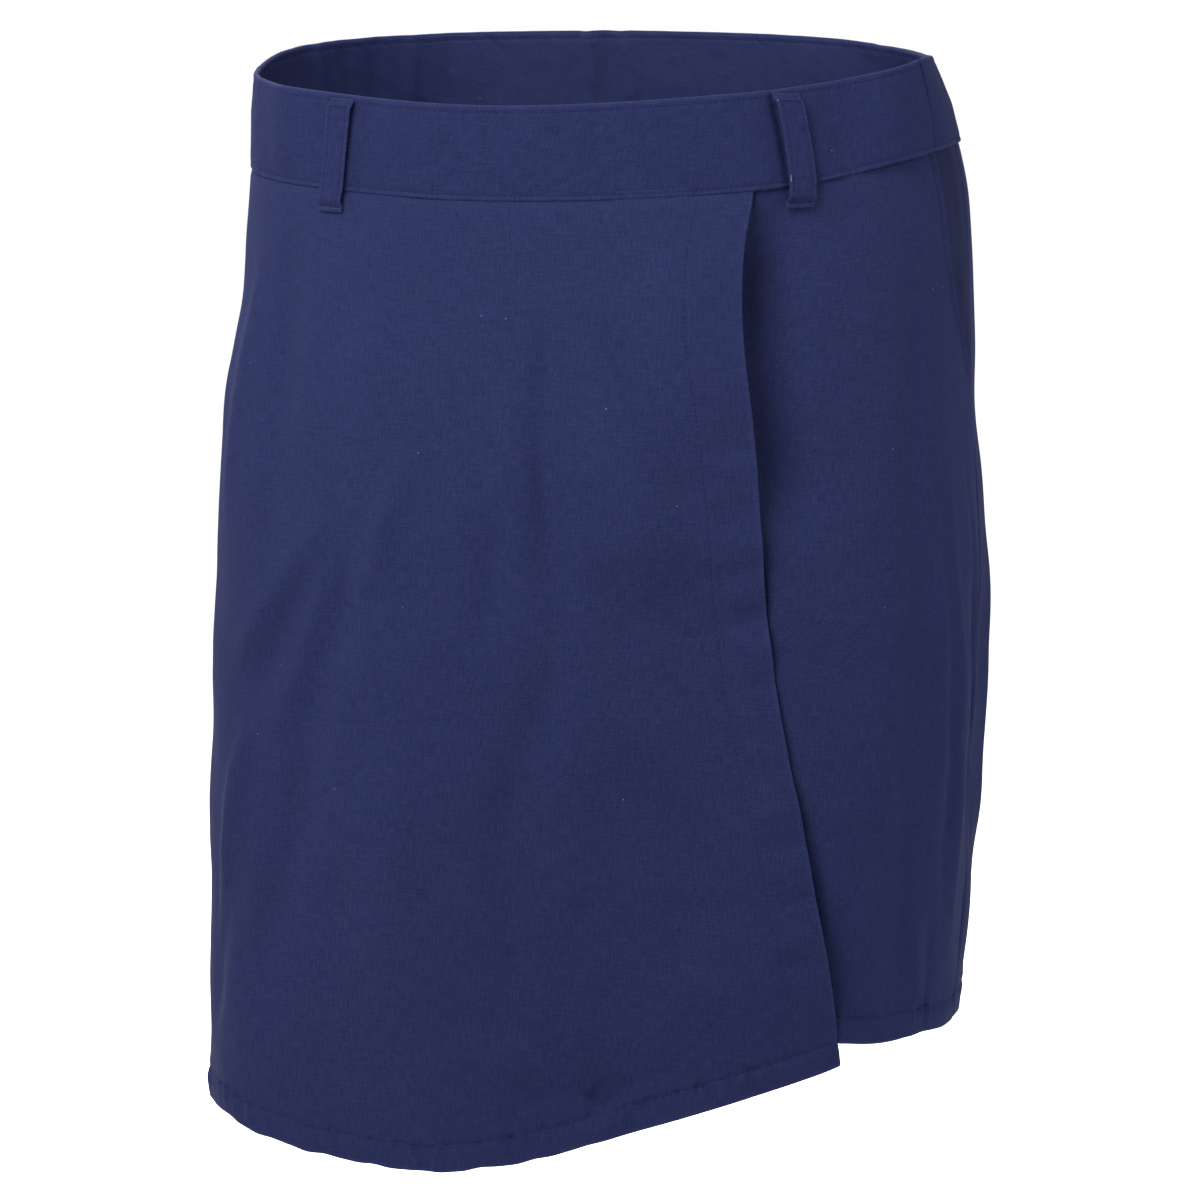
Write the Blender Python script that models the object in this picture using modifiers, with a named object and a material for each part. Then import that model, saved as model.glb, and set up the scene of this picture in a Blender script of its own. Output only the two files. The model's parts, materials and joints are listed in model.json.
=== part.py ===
"""Skort: wide-legged shorts with an apron panel over their front, filled out as worn.

Metres, +Z up. The wearer faces -Y, and +X is the wearer's left. The origin is the centre of the
waist, halfway up the waistband. Angles go round the body from the front centre toward the
wearer's left, in degrees.

The cloth follows rings round the body. A ring is a rounded oval at one height, and BODY gives
the size of the rings. Each panel is a sheet of points on these rings, made solid with Solidify.
"""
from math import cos, degrees, pi, radians, sin
from typing import Callable, NamedTuple, Sequence

import bmesh
import bpy
from mathutils import Vector

# Cloth
CLOTH = 0.0012            # one layer of the twill
BAND_CLOTH = 0.0028       # the waistband: two layers, the seam allowances and the interfacing
LOOP_CLOTH = 0.0014       # a belt loop, folded double
SEAM = 0.0003             # gap between two pieces that are sewn together
CURVED_SEAM = 0.0005      # the same where the edges curve: round the waist and up the inseams
IN_CLOTH = -CLOTH / 2.0   # from a panel's outer face, which is on the rings, to its middle
OVAL = 2.3                # squareness of the rings: 2 is an ellipse

# Heights, from the middle of the waistband
CROTCH = -0.232           # where the two legs part
CROTCH_CURVE = 0.100      # height of the curved seam above that
CROTCH_POINT_Y = 0.012    # the inseam's distance behind the middle of the body
LEG_HEM = -0.412
APRON_HEM = -0.458
WAIST_FADE = 0.090        # the slant of the waist dies away over this height below the band
HEM_FADE = 0.150          # and the slant of the apron's hem over this height above it
LEG_HEM_RISE = 0.003      # the front of a leg's hem is this much higher

# Angles and widths
WAIST_REACH = 0.158       # from the middle of the body to the waistband's side seams
HIP_REACH = 0.170         # and to the side seams below
CENTRE_REACH = 0.105      # and to the front and back centre seams
FRONT_JOIN_ANGLE = 40.0   # where a leg leaves the body's ring for its own inner curve
BACK_JOIN_ANGLE = 144.0
JOIN_STEP = 3.0           # a step beyond that angle, which gives the ring's direction there
LEG_ROUNDNESS = 1.75      # pull of the inner curve's ends: more makes the leg's inside squarer
CROTCH_ROOM = 0.8         # extra half gap along the crotch curve, in cloths
LEG_GAP = 0.005           # half the gap between the legs, once they have parted
LEG_PARTING = 0.025       # height over which that gap opens
POCKET_UNDERLAP = 14.0    # how far the pocket facing runs in under the front panel, in degrees
POCKET_ROOM = 0.0010      # between the facing and the front panel over it
POCKET_BOTTOM = -0.124
POCKET_OVERRUN = 0.006    # the facing runs on below the mouth by this much
APRON_SIDE_FROM = -15.0   # the stand-off at the side comes in from this angle
APRON_SIDE_OVER = 60.0    # over this turn
APRON_EDGE_FROM = -5.0    # and the one at the free edge from this angle
APRON_EDGE_OVER = 35.0
HEM_RISE_TO = 57.0        # a leg's hem is raised up to this angle
HEM_RISE_OVER = 15.0

# Belt loops
LOOP_WIDTH = 0.0115
LOOP_TOP = 0.0012         # below the band's top edge
LOOP_TAIL = 0.0100        # below the band's bottom edge
LOOP_HELD = 0.03          # part of its length that is tacked down at each end
LOOP_FULL = 0.10          # part of its length either side of the fullest place, at full bow
LOOP_STEP_FROM = 0.76     # it steps in from the band to the panel from here
LOOP_STEP = 0.20          # over this part of its length

COLLECTION = "skort"
NAVY = (0.0273, 0.0343, 0.1100, 1.0)
NAVY_BAND = (0.0290, 0.0365, 0.1170, 1.0)
NAVY_FACING = (0.0200, 0.0260, 0.0820, 1.0)


class Ring(NamedTuple):
    """The body's ring at one height: how far it reaches each way."""
    z: float
    right: float
    left: float
    front: float
    back: float


class BandRow(NamedTuple):
    """The heights of the waistband's two edges at one angle."""
    angle: float
    top: float
    bottom: float


class SeamRow(NamedTuple):
    """Where an upright seam or edge lies at one height."""
    z: float
    angle: float


class HemRow(NamedTuple):
    """The apron hem's height at one angle, from APRON_HEM."""
    angle: float
    rise: float


class ApronRow(NamedTuple):
    """How far the apron stands off the body at one height: side, middle and free edge."""
    z: float
    side: float
    middle: float
    edge: float


class BandSeam(NamedTuple):
    """A side seam of the waistband: its angle at the band's top and bottom edges."""
    top: float
    bottom: float


class LoopRow(NamedTuple):
    """A belt loop: the angles of its ends, and how far and how low down it bows out."""
    place: str
    top_angle: float
    bottom_angle: float
    bow: float
    fullest: float


BODY = (
    Ring(z=0.030, right=0.1560, left=0.1480, front=0.096, back=0.108),
    Ring(z=0.000, right=0.1580, left=0.1595, front=0.100, back=0.111),
    Ring(z=-0.030, right=0.1587, left=0.1667, front=0.104, back=0.115),
    Ring(z=-0.080, right=0.1626, left=0.1705, front=0.109, back=0.123),
    Ring(z=-0.130, right=0.1720, left=0.1722, front=0.114, back=0.129),
    Ring(z=-0.180, right=0.1758, left=0.1756, front=0.118, back=0.131),
    Ring(z=-0.230, right=0.1767, left=0.1780, front=0.120, back=0.129),
    Ring(z=-0.280, right=0.1750, left=0.1769, front=0.121, back=0.126),
    Ring(z=-0.330, right=0.1727, left=0.1732, front=0.121, back=0.123),
    Ring(z=-0.412, right=0.1672, left=0.1664, front=0.121, back=0.120),
    Ring(z=-0.480, right=0.1632, left=0.1623, front=0.121, back=0.119),
)
BAND_EDGES = (
    BandRow(angle=-180.0, top=0.0250, bottom=-0.0155),
    BandRow(angle=-140.0, top=0.0232, bottom=-0.0165),
    BandRow(angle=-110.0, top=0.0212, bottom=-0.0205),
    BandRow(angle=-80.0, top=0.0165, bottom=-0.0250),
    BandRow(angle=-45.0, top=0.0140, bottom=-0.0270),
    BandRow(angle=-10.0, top=0.0115, bottom=-0.0284),
    BandRow(angle=30.0, top=0.0180, bottom=-0.0225),
    BandRow(angle=60.0, top=0.0245, bottom=-0.0125),
    BandRow(angle=85.0, top=0.0270, bottom=-0.0102),
    BandRow(angle=112.0, top=0.0232, bottom=-0.0135),
    BandRow(angle=145.0, top=0.0250, bottom=-0.0150),
    BandRow(angle=180.0, top=0.0250, bottom=-0.0155),
)
PANEL_TOP = -0.0195       # mean height of the panels' upper edge, along the band

RIGHT_SIDE_SEAM = (
    SeamRow(z=-0.015, angle=-80.0),
    SeamRow(z=-0.080, angle=-74.0),
    SeamRow(z=-0.150, angle=-70.0),
    SeamRow(z=-0.210, angle=-71.0),
    SeamRow(z=-0.300, angle=-76.0),
    SeamRow(z=-0.480, angle=-79.0),
)
LEFT_SIDE_SEAM = (
    SeamRow(z=-0.010, angle=90.0),
    SeamRow(z=-0.240, angle=88.0),
    SeamRow(z=-0.480, angle=86.0),
)
POCKET_MOUTH = (
    SeamRow(z=-0.010, angle=71.0),
    SeamRow(z=-0.050, angle=72.5),
    SeamRow(z=-0.070, angle=74.5),
    SeamRow(z=-0.091, angle=79.0),
    SeamRow(z=-0.124, angle=88.0),
)
APRON_EDGE = (
    SeamRow(z=-0.022, angle=29.0),
    SeamRow(z=-0.050, angle=26.2),
    SeamRow(z=-0.085, angle=25.8),
    SeamRow(z=-0.130, angle=27.9),
    SeamRow(z=-0.180, angle=29.1),
    SeamRow(z=-0.240, angle=31.4),
    SeamRow(z=-0.275, angle=33.6),
    SeamRow(z=-0.315, angle=37.0),
    SeamRow(z=-0.365, angle=41.2),
    SeamRow(z=-0.425, angle=46.8),
    SeamRow(z=-0.480, angle=52.8),
)
APRON_HEM_LINE = (
    HemRow(angle=-80.0, rise=0.0005),
    HemRow(angle=-60.0, rise=0.0002),
    HemRow(angle=-40.0, rise=-0.0082),
    HemRow(angle=-21.0, rise=-0.0114),
    HemRow(angle=-5.0, rise=-0.0045),
    HemRow(angle=12.5, rise=0.0100),
    HemRow(angle=30.0, rise=0.0256),
    HemRow(angle=48.0, rise=0.0386),
)
APRON_STAND_OFF = (
    ApronRow(z=-0.020, side=0.0003, middle=0.0003, edge=0.0003),
    ApronRow(z=-0.060, side=0.0008, middle=0.0016, edge=0.0050),
    ApronRow(z=-0.120, side=0.0008, middle=0.0026, edge=0.0090),
    ApronRow(z=-0.180, side=0.0010, middle=0.0032, edge=0.0100),
    ApronRow(z=-0.240, side=0.0018, middle=0.0038, edge=0.0090),
    ApronRow(z=-0.320, side=0.0066, middle=0.0050, edge=0.0062),
    ApronRow(z=-0.400, side=0.0118, middle=0.0060, edge=0.0046),
    ApronRow(z=-0.480, side=0.0170, middle=0.0070, edge=0.0046),
)
LEFT_BAND_SEAM = BandSeam(top=80.5, bottom=73.5)
RIGHT_BAND_SEAM = BandSeam(top=-88.0, bottom=-88.0)
LOOPS = (
    LoopRow(place="front_left", top_angle=36.9, bottom_angle=36.6, bow=0.0050, fullest=0.60),
    LoopRow(place="front_right", top_angle=-37.3, bottom_angle=-39.4, bow=0.0030, fullest=0.45),
    LoopRow(place="back_left", top_angle=131.0, bottom_angle=131.0, bow=0.0060, fullest=0.50),
    LoopRow(place="back_right", top_angle=-131.0, bottom_angle=-131.0, bow=0.0060, fullest=0.50),
    LoopRow(place="back_centre", top_angle=-175.0, bottom_angle=-175.0, bow=0.0060, fullest=0.50),
)

Shape = Callable[[float, float], Vector]


def mix(start: float, end: float, part: float) -> float:
    return start + (end - start) * part


def ease(part: float) -> float:
    """A soft step from 0 to 1."""
    part = min(1.0, max(0.0, part))
    return part * part * (3.0 - 2.0 * part)


def smooth_row(rows: Sequence[NamedTuple], key: float) -> NamedTuple:
    """The row of a table at a value of its first column, on a smooth curve through its rows."""
    if rows[0][0] > rows[-1][0]:
        rows = rows[::-1]
    key = min(rows[-1][0], max(rows[0][0], key))
    last = max(i for i, row in enumerate(rows[:-1]) if row[0] <= key)
    here = rows[last]
    after = rows[last + 1]
    step = after[0] - here[0]
    part = (key - here[0]) / step

    def slope(i: int, column: int) -> float:
        low = rows[max(0, i - 1)]
        high = rows[min(len(rows) - 1, i + 1)]
        return (high[column] - low[column]) / (high[0] - low[0])

    values = [key]
    for column in range(1, len(here)):
        rise = after[column] - here[column]
        begin = slope(last, column) * step
        end = slope(last + 1, column) * step
        curve = part * (1.0 - part) * ((1.0 - part) * (begin - rise) - part * (end - rise))
        values.append(here[column] + rise * part + curve)
    return type(here)(*values)


def on_body(angle: float, z: float, stand_off: float = 0.0) -> Vector:
    """A point of the body's ring at a height, moved out by the stand-off."""
    ring = smooth_row(BODY, z)
    turn = radians(angle)
    across = sin(turn)
    forward = cos(turn)
    half_width = (ring.right + ring.left) / 2.0 + stand_off
    depth = (ring.front if forward >= 0.0 else ring.back) + stand_off
    reach = (abs(across) ** OVAL + abs(forward) ** OVAL) ** (-1.0 / OVAL)
    middle = (ring.left - ring.right) / 2.0
    return Vector((middle + half_width * reach * across, -depth * reach * forward, z))


def band_edges(angle: float) -> BandRow:
    """The waistband's edges at any angle, from -180 to 360."""
    return smooth_row(BAND_EDGES, (angle + 180.0) % 360.0 - 180.0)


def below_band(angle: float, level: float) -> float:
    """Height of a panel's row: the first follows the band's edge, the lower ones are level."""
    slant = band_edges(angle).bottom - PANEL_TOP
    depth = (PANEL_TOP - level) / WAIST_FADE
    return level + slant * (1.0 - ease(depth))


def apron_stand_off(angle: float, z: float) -> float:
    row = smooth_row(APRON_STAND_OFF, z)
    toward_side = ease((APRON_SIDE_FROM - angle) / APRON_SIDE_OVER)
    toward_edge = ease((angle - APRON_EDGE_FROM) / APRON_EDGE_OVER)
    return row.middle + (row.side - row.middle) * toward_side + (row.edge - row.middle) * toward_edge


def steps(start: float, end: float, count: int) -> list[float]:
    return [mix(start, end, i / count) for i in range(count + 1)]


def navy_material(name: str, colour: tuple[float, float, float, float]) -> bpy.types.Material:
    material = bpy.data.materials.new(name)
    material.use_nodes = True
    shader = material.node_tree.nodes["Principled BSDF"]
    shader.inputs["Base Color"].default_value = colour
    shader.inputs["Roughness"].default_value = 0.85
    shader.inputs["Metallic"].default_value = 0.0
    return material


def sheet(
    name: str,
    columns: Sequence[float],
    rows: Sequence[float],
    shape: Shape,
    thickness: float,
    colour: tuple[float, float, float, float],
    parent: bpy.types.Object,
) -> bpy.types.Object:
    """A cloth panel: a grid bent to the middle of the cloth, then made solid to both sides."""
    grid = bmesh.new()
    bmesh.ops.create_grid(grid, x_segments=len(columns) - 1, y_segments=len(rows) - 1, size=0.5)
    for vertex in grid.verts:
        column = round((vertex.co.x + 0.5) * (len(columns) - 1))
        row = round((0.5 - vertex.co.y) * (len(rows) - 1))
        vertex.co = shape(columns[column], rows[row])
    mesh = bpy.data.meshes.new(name)
    grid.to_mesh(mesh)
    grid.free()
    mesh.materials.append(navy_material(name + "_cloth", colour))
    mesh.shade_smooth()
    panel = bpy.data.objects.new(name, mesh)
    bpy.data.collections[COLLECTION].objects.link(panel)
    panel.parent = parent
    solid = panel.modifiers.new("Cloth thickness", "SOLIDIFY")
    solid.thickness = thickness
    solid.offset = 0.0
    solid.use_even_offset = True
    return panel


def waistband(name: str, first: BandSeam, last: BandSeam, parent: bpy.types.Object) -> None:
    """Half of the waistband, from one side seam round to the other."""
    middle = (BAND_CLOTH / 2.0) - CLOTH
    gap = degrees(CURVED_SEAM / 2.0 / WAIST_REACH)

    def shape(across: float, down: float) -> Vector:
        begin = mix(first.top, first.bottom, down) + gap
        end = mix(last.top, last.bottom, down) - gap
        angle = mix(begin, end, across)
        edges = band_edges(angle)
        return on_body(angle, mix(edges.top, edges.bottom, down), middle)

    sheet(name, steps(0.0, 1.0, 36), steps(0.0, 1.0, 3), shape, BAND_CLOTH, NAVY_BAND, parent)


def crotch_levels() -> list[float]:
    """Heights of the rows down the curved crotch seam, closer together toward its end."""
    top = CROTCH + CROTCH_CURVE
    return [top - CROTCH_CURVE * sin(pi / 2.0 * i / 7) for i in range(1, 8)]


def leg_levels() -> list[float]:
    waist = PANEL_TOP - CURVED_SEAM
    crotch_top = CROTCH + CROTCH_CURVE
    upper = [waist, waist - 0.006] + steps(waist - 0.026, crotch_top, 4)
    lower = [CROTCH - 0.008, CROTCH - 0.020, CROTCH - 0.040] + steps(CROTCH - 0.075, LEG_HEM, 4)
    return upper + crotch_levels() + lower


def seam_turn(level: float) -> float:
    """How far the crotch seam has come from the centre seam, 0, to the inseam, 1."""
    down = (CROTCH + CROTCH_CURVE - level) / CROTCH_CURVE
    if down <= 0.0:
        return 0.0
    if down >= 1.0:
        return 1.0
    return 1.0 - (1.0 - down * down) ** 0.5


def leg_inner_curve(side: int, face: int, level: float, part: float) -> Vector:
    """The inner side of a leg, from the inseam to where it meets the body's ring."""
    join_angle = side * (FRONT_JOIN_ANGLE if face < 0 else BACK_JOIN_ANGLE)
    join = on_body(join_angle, level, IN_CLOTH)
    beyond = on_body(join_angle + side * -face * JOIN_STEP, level, IN_CLOTH)
    room = CROTCH_ROOM * CLOTH * ease(2.0 * seam_turn(level))
    apart = SEAM / 2.0 + room + LEG_GAP * ease((CROTCH - level) / LEG_PARTING)
    start = Vector((side * apart, CROTCH_POINT_Y + face * CURVED_SEAM / 2.0, level))
    depth = abs(join.y - start.y)
    leave = Vector((0.0, face * depth * LEG_ROUNDNESS, 0.0))
    arrive = (beyond - join).normalized() * abs(join.x - start.x) * LEG_ROUNDNESS
    square = part * part
    cube = square * part
    return ((2.0 * cube - 3.0 * square + 1.0) * start + (cube - 2.0 * square + part) * leave
            + (3.0 * square - 2.0 * cube) * join + (cube - square) * arrive)


def leg_hem_rise(angle: float, level: float) -> float:
    """How much a front leg's rows are raised, toward the hem and the middle."""
    toward_hem = ease((CROTCH - level) / (CROTCH - LEG_HEM))
    return LEG_HEM_RISE * toward_hem * ease((HEM_RISE_TO - angle) / HEM_RISE_OVER)


def leg_panel(
    name: str,
    side: int,
    face: int,
    outer_edge: Callable[[float], float],
    parent: bpy.types.Object,
) -> None:
    """A quarter of the shorts: side is 1 for the wearer's left, face is -1 for the front."""
    centre_angle = 0.0 if face < 0 else 180.0
    centre_gap = degrees(SEAM / 2.0 / CENTRE_REACH)
    join_angle = FRONT_JOIN_ANGLE if face < 0 else BACK_JOIN_ANGLE

    def shape(across: float, level: float) -> Vector:
        start = centre_angle - face * centre_gap
        angle = side * mix(start, join_angle, across)
        if across >= 1.0:
            angle = side * mix(join_angle, abs(outer_edge(level)), across - 1.0)
        point = on_body(angle, below_band(angle, level), IN_CLOTH)
        turned = seam_turn(level)
        if across < 1.0 and turned > 0.0:
            point = point.lerp(leg_inner_curve(side, face, level, across), turned)
        if face < 0:
            point.z += leg_hem_rise(abs(angle), level)
        return point

    columns = steps(0.0, 1.0, 6) + steps(1.0, 2.0, 8 if face < 0 else 9)[1:]
    if side * face > 0:
        columns = columns[::-1]
    sheet(name, columns, leg_levels(), shape, CLOTH, NAVY, parent)


def seam_angle(table: Sequence[SeamRow], side: float) -> Callable[[float], float]:
    """An upright edge beside a seam, with half the seam's gap to it."""
    gap = degrees(SEAM / 2.0 / HIP_REACH)
    return lambda level: smooth_row(table, level).angle + side * gap


def front_left_edge(level: float) -> float:
    """Outer edge of the left front: the pocket mouth, and the side seam below it."""
    if level > POCKET_BOTTOM:
        return seam_angle(POCKET_MOUTH, -1.0)(level)
    return seam_angle(LEFT_SIDE_SEAM, -1.0)(level)


def pocket_facing(parent: bpy.types.Object) -> None:
    """The piece that shows inside the pocket mouth and runs in under the front panel."""
    under = CLOTH + POCKET_ROOM

    def shape(across: float, level: float) -> Vector:
        mouth = smooth_row(POCKET_MOUTH, level).angle
        side_seam = seam_angle(LEFT_SIDE_SEAM, -3.0)(level)
        angle = mix(mouth - POCKET_UNDERLAP, side_seam, across)
        to_seam = ease((angle - mouth - 1.0) / max(side_seam - mouth - 1.0, 1.0))
        return on_body(angle, below_band(angle, level), IN_CLOTH - under * (1.0 - to_seam))

    levels = steps(PANEL_TOP - 2.0 * CURVED_SEAM, POCKET_BOTTOM - POCKET_OVERRUN, 9)
    sheet("pocket_facing_left", steps(0.0, 1.0, 7), levels, shape, CLOTH, NAVY_FACING, parent)


def apron(parent: bpy.types.Object) -> None:
    """The panel over the front, from the right side seam to its free edge."""
    waist = PANEL_TOP - CURVED_SEAM

    def height(angle: float, level: float) -> float:
        rise = smooth_row(APRON_HEM_LINE, angle).rise
        toward_hem = ease((APRON_HEM + HEM_FADE - level) / HEM_FADE)
        return below_band(angle, level) + rise * toward_hem

    def shape(across: float, level: float) -> Vector:
        angle = 0.0
        z = level
        for _ in range(3):
            side_edge = smooth_row(RIGHT_SIDE_SEAM, z).angle
            free_edge = smooth_row(APRON_EDGE, z).angle
            angle = mix(side_edge, free_edge, across)
            z = height(angle, level)
        return on_body(angle, z, apron_stand_off(angle, z) + CLOTH / 2.0)

    levels = [waist, waist - 0.006] + steps(waist - 0.030, APRON_HEM, 19)
    sheet("apron", steps(0.0, 1.0, 22), levels, shape, CLOTH, NAVY, parent)


def panel_face(angle: float, z: float) -> float:
    """How far out the outermost panel's face is, over the rings."""
    if smooth_row(RIGHT_SIDE_SEAM, z).angle < angle < smooth_row(APRON_EDGE, z).angle:
        return apron_stand_off(angle, z) + CLOTH
    return 0.0


def belt_loop(loop: LoopRow, parent: bpy.types.Object) -> None:
    """A belt loop: tacked to the band and to the panel below it, and bowed out in between."""
    top = band_edges(loop.top_angle).top - LOOP_TOP
    bottom = band_edges(loop.bottom_angle).bottom - LOOP_TAIL
    band_face = BAND_CLOTH - CLOTH + SEAM
    place = loop.top_angle
    width_of_degree = (on_body(place + 0.5, 0.0) - on_body(place - 0.5, 0.0)).length
    half_turn = LOOP_WIDTH / 2.0 / width_of_degree

    def shape(across: float, down: float) -> Vector:
        z = mix(top, bottom, down)
        angle = mix(loop.top_angle, loop.bottom_angle, down)
        stepped = ease((down - LOOP_STEP_FROM) / LOOP_STEP)
        seat = mix(band_face, panel_face(angle, z) + SEAM, stepped)
        if down < loop.fullest:
            bow = ease((down - LOOP_HELD) / (loop.fullest - LOOP_FULL - LOOP_HELD))
        else:
            bow = ease((1.0 - LOOP_HELD - down) / (1.0 - LOOP_HELD - LOOP_FULL - loop.fullest))
        out = seat + loop.bow * bow + LOOP_CLOTH / 2.0
        return on_body(angle + across * half_turn, z, out)

    sheet("belt_loop_" + loop.place, steps(-1.0, 1.0, 2), steps(0.0, 1.0, 14), shape,
          LOOP_CLOTH, NAVY_BAND, parent)


def clear_scene() -> None:
    for old in list(bpy.data.objects):
        bpy.data.objects.remove(old, do_unlink=True)


def build() -> None:
    clear_scene()
    collection = bpy.data.collections.new(COLLECTION)
    bpy.context.scene.collection.children.link(collection)
    root = bpy.data.objects.new("skort_root", None)
    collection.objects.link(root)

    round_the_back = BandSeam(RIGHT_BAND_SEAM.top + 360.0, RIGHT_BAND_SEAM.bottom + 360.0)
    waistband("waistband_front", RIGHT_BAND_SEAM, LEFT_BAND_SEAM, root)
    waistband("waistband_back", LEFT_BAND_SEAM, round_the_back, root)
    leg_panel("front_leg_left", 1, -1, front_left_edge, root)
    leg_panel("front_leg_right", -1, -1, seam_angle(RIGHT_SIDE_SEAM, 1.0), root)
    leg_panel("back_leg_left", 1, 1, seam_angle(LEFT_SIDE_SEAM, 1.0), root)
    leg_panel("back_leg_right", -1, 1, seam_angle(RIGHT_SIDE_SEAM, -1.0), root)
    pocket_facing(root)
    apron(root)

    for loop in LOOPS:
        belt_loop(loop, root)


build()
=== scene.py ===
"""Skort in navy twill: shorts with an apron panel over their front, filled out as worn.

Metres, +Z up. The wearer faces -Y and +X is the wearer's left. The origin is the centre of the
waist, halfway up the waistband. Angles go round the body from the front centre toward the wearer's
left, in degrees. Every panel is a thin closed shell laid on one body form, and is addressed by how
far across and how far down it a point lies, both from 0 to 1.
"""
from __future__ import annotations

import json
import logging
from abc import ABC, abstractmethod
from dataclasses import dataclass, field
from enum import Enum
from math import pi, radians
from typing import Callable, NamedTuple, Sequence

import bpy
import numpy as np
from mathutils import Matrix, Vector

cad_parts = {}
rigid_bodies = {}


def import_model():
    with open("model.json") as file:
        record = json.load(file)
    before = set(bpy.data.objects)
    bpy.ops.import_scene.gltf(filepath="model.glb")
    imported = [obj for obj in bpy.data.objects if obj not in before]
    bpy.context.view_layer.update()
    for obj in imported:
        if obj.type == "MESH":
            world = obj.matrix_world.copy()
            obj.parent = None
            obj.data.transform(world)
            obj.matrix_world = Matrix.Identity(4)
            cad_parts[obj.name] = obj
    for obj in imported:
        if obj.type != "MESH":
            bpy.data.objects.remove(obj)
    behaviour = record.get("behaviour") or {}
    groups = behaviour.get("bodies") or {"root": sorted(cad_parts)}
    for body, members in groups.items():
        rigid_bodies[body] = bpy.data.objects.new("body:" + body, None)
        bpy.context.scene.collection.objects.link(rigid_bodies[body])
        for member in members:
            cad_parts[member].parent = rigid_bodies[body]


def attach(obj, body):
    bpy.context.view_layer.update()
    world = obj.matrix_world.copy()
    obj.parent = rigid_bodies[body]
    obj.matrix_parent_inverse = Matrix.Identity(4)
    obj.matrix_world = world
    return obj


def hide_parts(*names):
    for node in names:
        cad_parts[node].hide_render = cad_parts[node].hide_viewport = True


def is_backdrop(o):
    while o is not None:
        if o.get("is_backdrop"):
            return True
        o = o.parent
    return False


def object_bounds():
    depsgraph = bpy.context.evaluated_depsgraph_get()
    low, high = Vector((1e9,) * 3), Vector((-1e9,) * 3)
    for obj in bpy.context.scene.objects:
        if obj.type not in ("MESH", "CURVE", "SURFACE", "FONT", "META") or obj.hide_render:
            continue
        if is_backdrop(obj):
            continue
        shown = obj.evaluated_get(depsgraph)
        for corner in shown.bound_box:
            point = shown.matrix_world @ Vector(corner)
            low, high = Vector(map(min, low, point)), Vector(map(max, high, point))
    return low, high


LOG = logging.getLogger("skort")
Array = np.ndarray
Colour = tuple[float, float, float]

SEAM = 0.0003  # gap between two pieces that are sewn together
CURVED_SEAM = 0.0005  # and where their edges curve
TUCKED = 0.0030  # a panel's top runs up inside the waistband by this much
FOLD_TAPER = 0.35  # a fold grows along this part of its length at both ends
FOLD_NARROWEST = 0.65  # its width at its ends, for a width of 1 at its middle
ZONE_FADE = 0.6  # close rows of points give way to wide ones over this part of their strip
TINY = 1e-9


def mix(start: Array | float, end: Array | float, part: Array | float) -> Array:
    """Goes from start at part 0 to end at part 1."""
    return start + (end - start) * np.asarray(part, float)


def ease(part: Array | float) -> Array:
    """A soft step: 0 up to part 0, and 1 from part 1."""
    part = np.clip(part, 0.0, 1.0)
    return part * part * (3.0 - 2.0 * part)


def bell(off: Array, width: float) -> Array:
    """A soft bump: 1 where off is 0, and nearly 0 from twice the width away."""
    return np.exp(-(off / width) ** 2)


class Groove(NamedTuple):
    """A line along which the cloth is drawn in, or raised where the depth is below 0."""
    depth: float
    width: float

    def relief(self, off: Array) -> Array:
        """How far the cloth is raised, at distances from the line."""
        return -self.depth * bell(off, self.width)


SEAM_DIP = Groove(0.0008, 0.0016)  # how far the cloth turns in beside a seam


def along(rows: Sequence[NamedTuple], column: str, place: Array | float) -> Array:
    """Reads a table between its rows, on a smooth curve through them.

    Args:
        rows: The table. Its first column is the place.
        column: The name of the column to read.
        place: Where to read it.

    Returns:
        The column's value at each place.
    """
    places, values = np.array(sorted((row[0], getattr(row, column)) for row in rows)).T
    place = np.clip(place, places[0], places[-1])
    last = len(places) - 1
    low = np.clip(np.searchsorted(places, place, side="right") - 1, 0, last - 1)
    before = np.maximum(np.arange(last + 1) - 1, 0)
    after = np.minimum(np.arange(last + 1) + 1, last)
    slopes = (values[after] - values[before]) / (places[after] - places[before])
    step = places[low + 1] - places[low]
    part = (place - places[low]) / step
    rise = values[low + 1] - values[low]
    begin = slopes[low] * step - rise
    end = slopes[low + 1] * step - rise
    return values[low] + rise * part + part * (1.0 - part) * ((1.0 - part) * begin - part * end)


def unit(vectors: Array) -> Array:
    """The vectors at length 1."""
    return vectors / np.maximum(np.linalg.norm(vectors, axis=-1, keepdims=True), TINY)


class Ring(NamedTuple):
    """The body's ring at one height: how far it reaches each way."""
    z: float
    right: float
    left: float
    front: float
    back: float


class BandRow(NamedTuple):
    """The heights of the waistband's two edges at one angle."""
    angle: float
    top: float
    bottom: float


class SeamRow(NamedTuple):
    """Where an upright seam or edge lies at one height."""
    z: float
    angle: float


class HemRow(NamedTuple):
    """The apron hem's height at one angle, from its lowest level."""
    angle: float
    rise: float


class StandOffRow(NamedTuple):
    """How far the apron stands off the body at one height: side, middle and free edge."""
    z: float
    side: float
    middle: float
    edge: float


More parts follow.
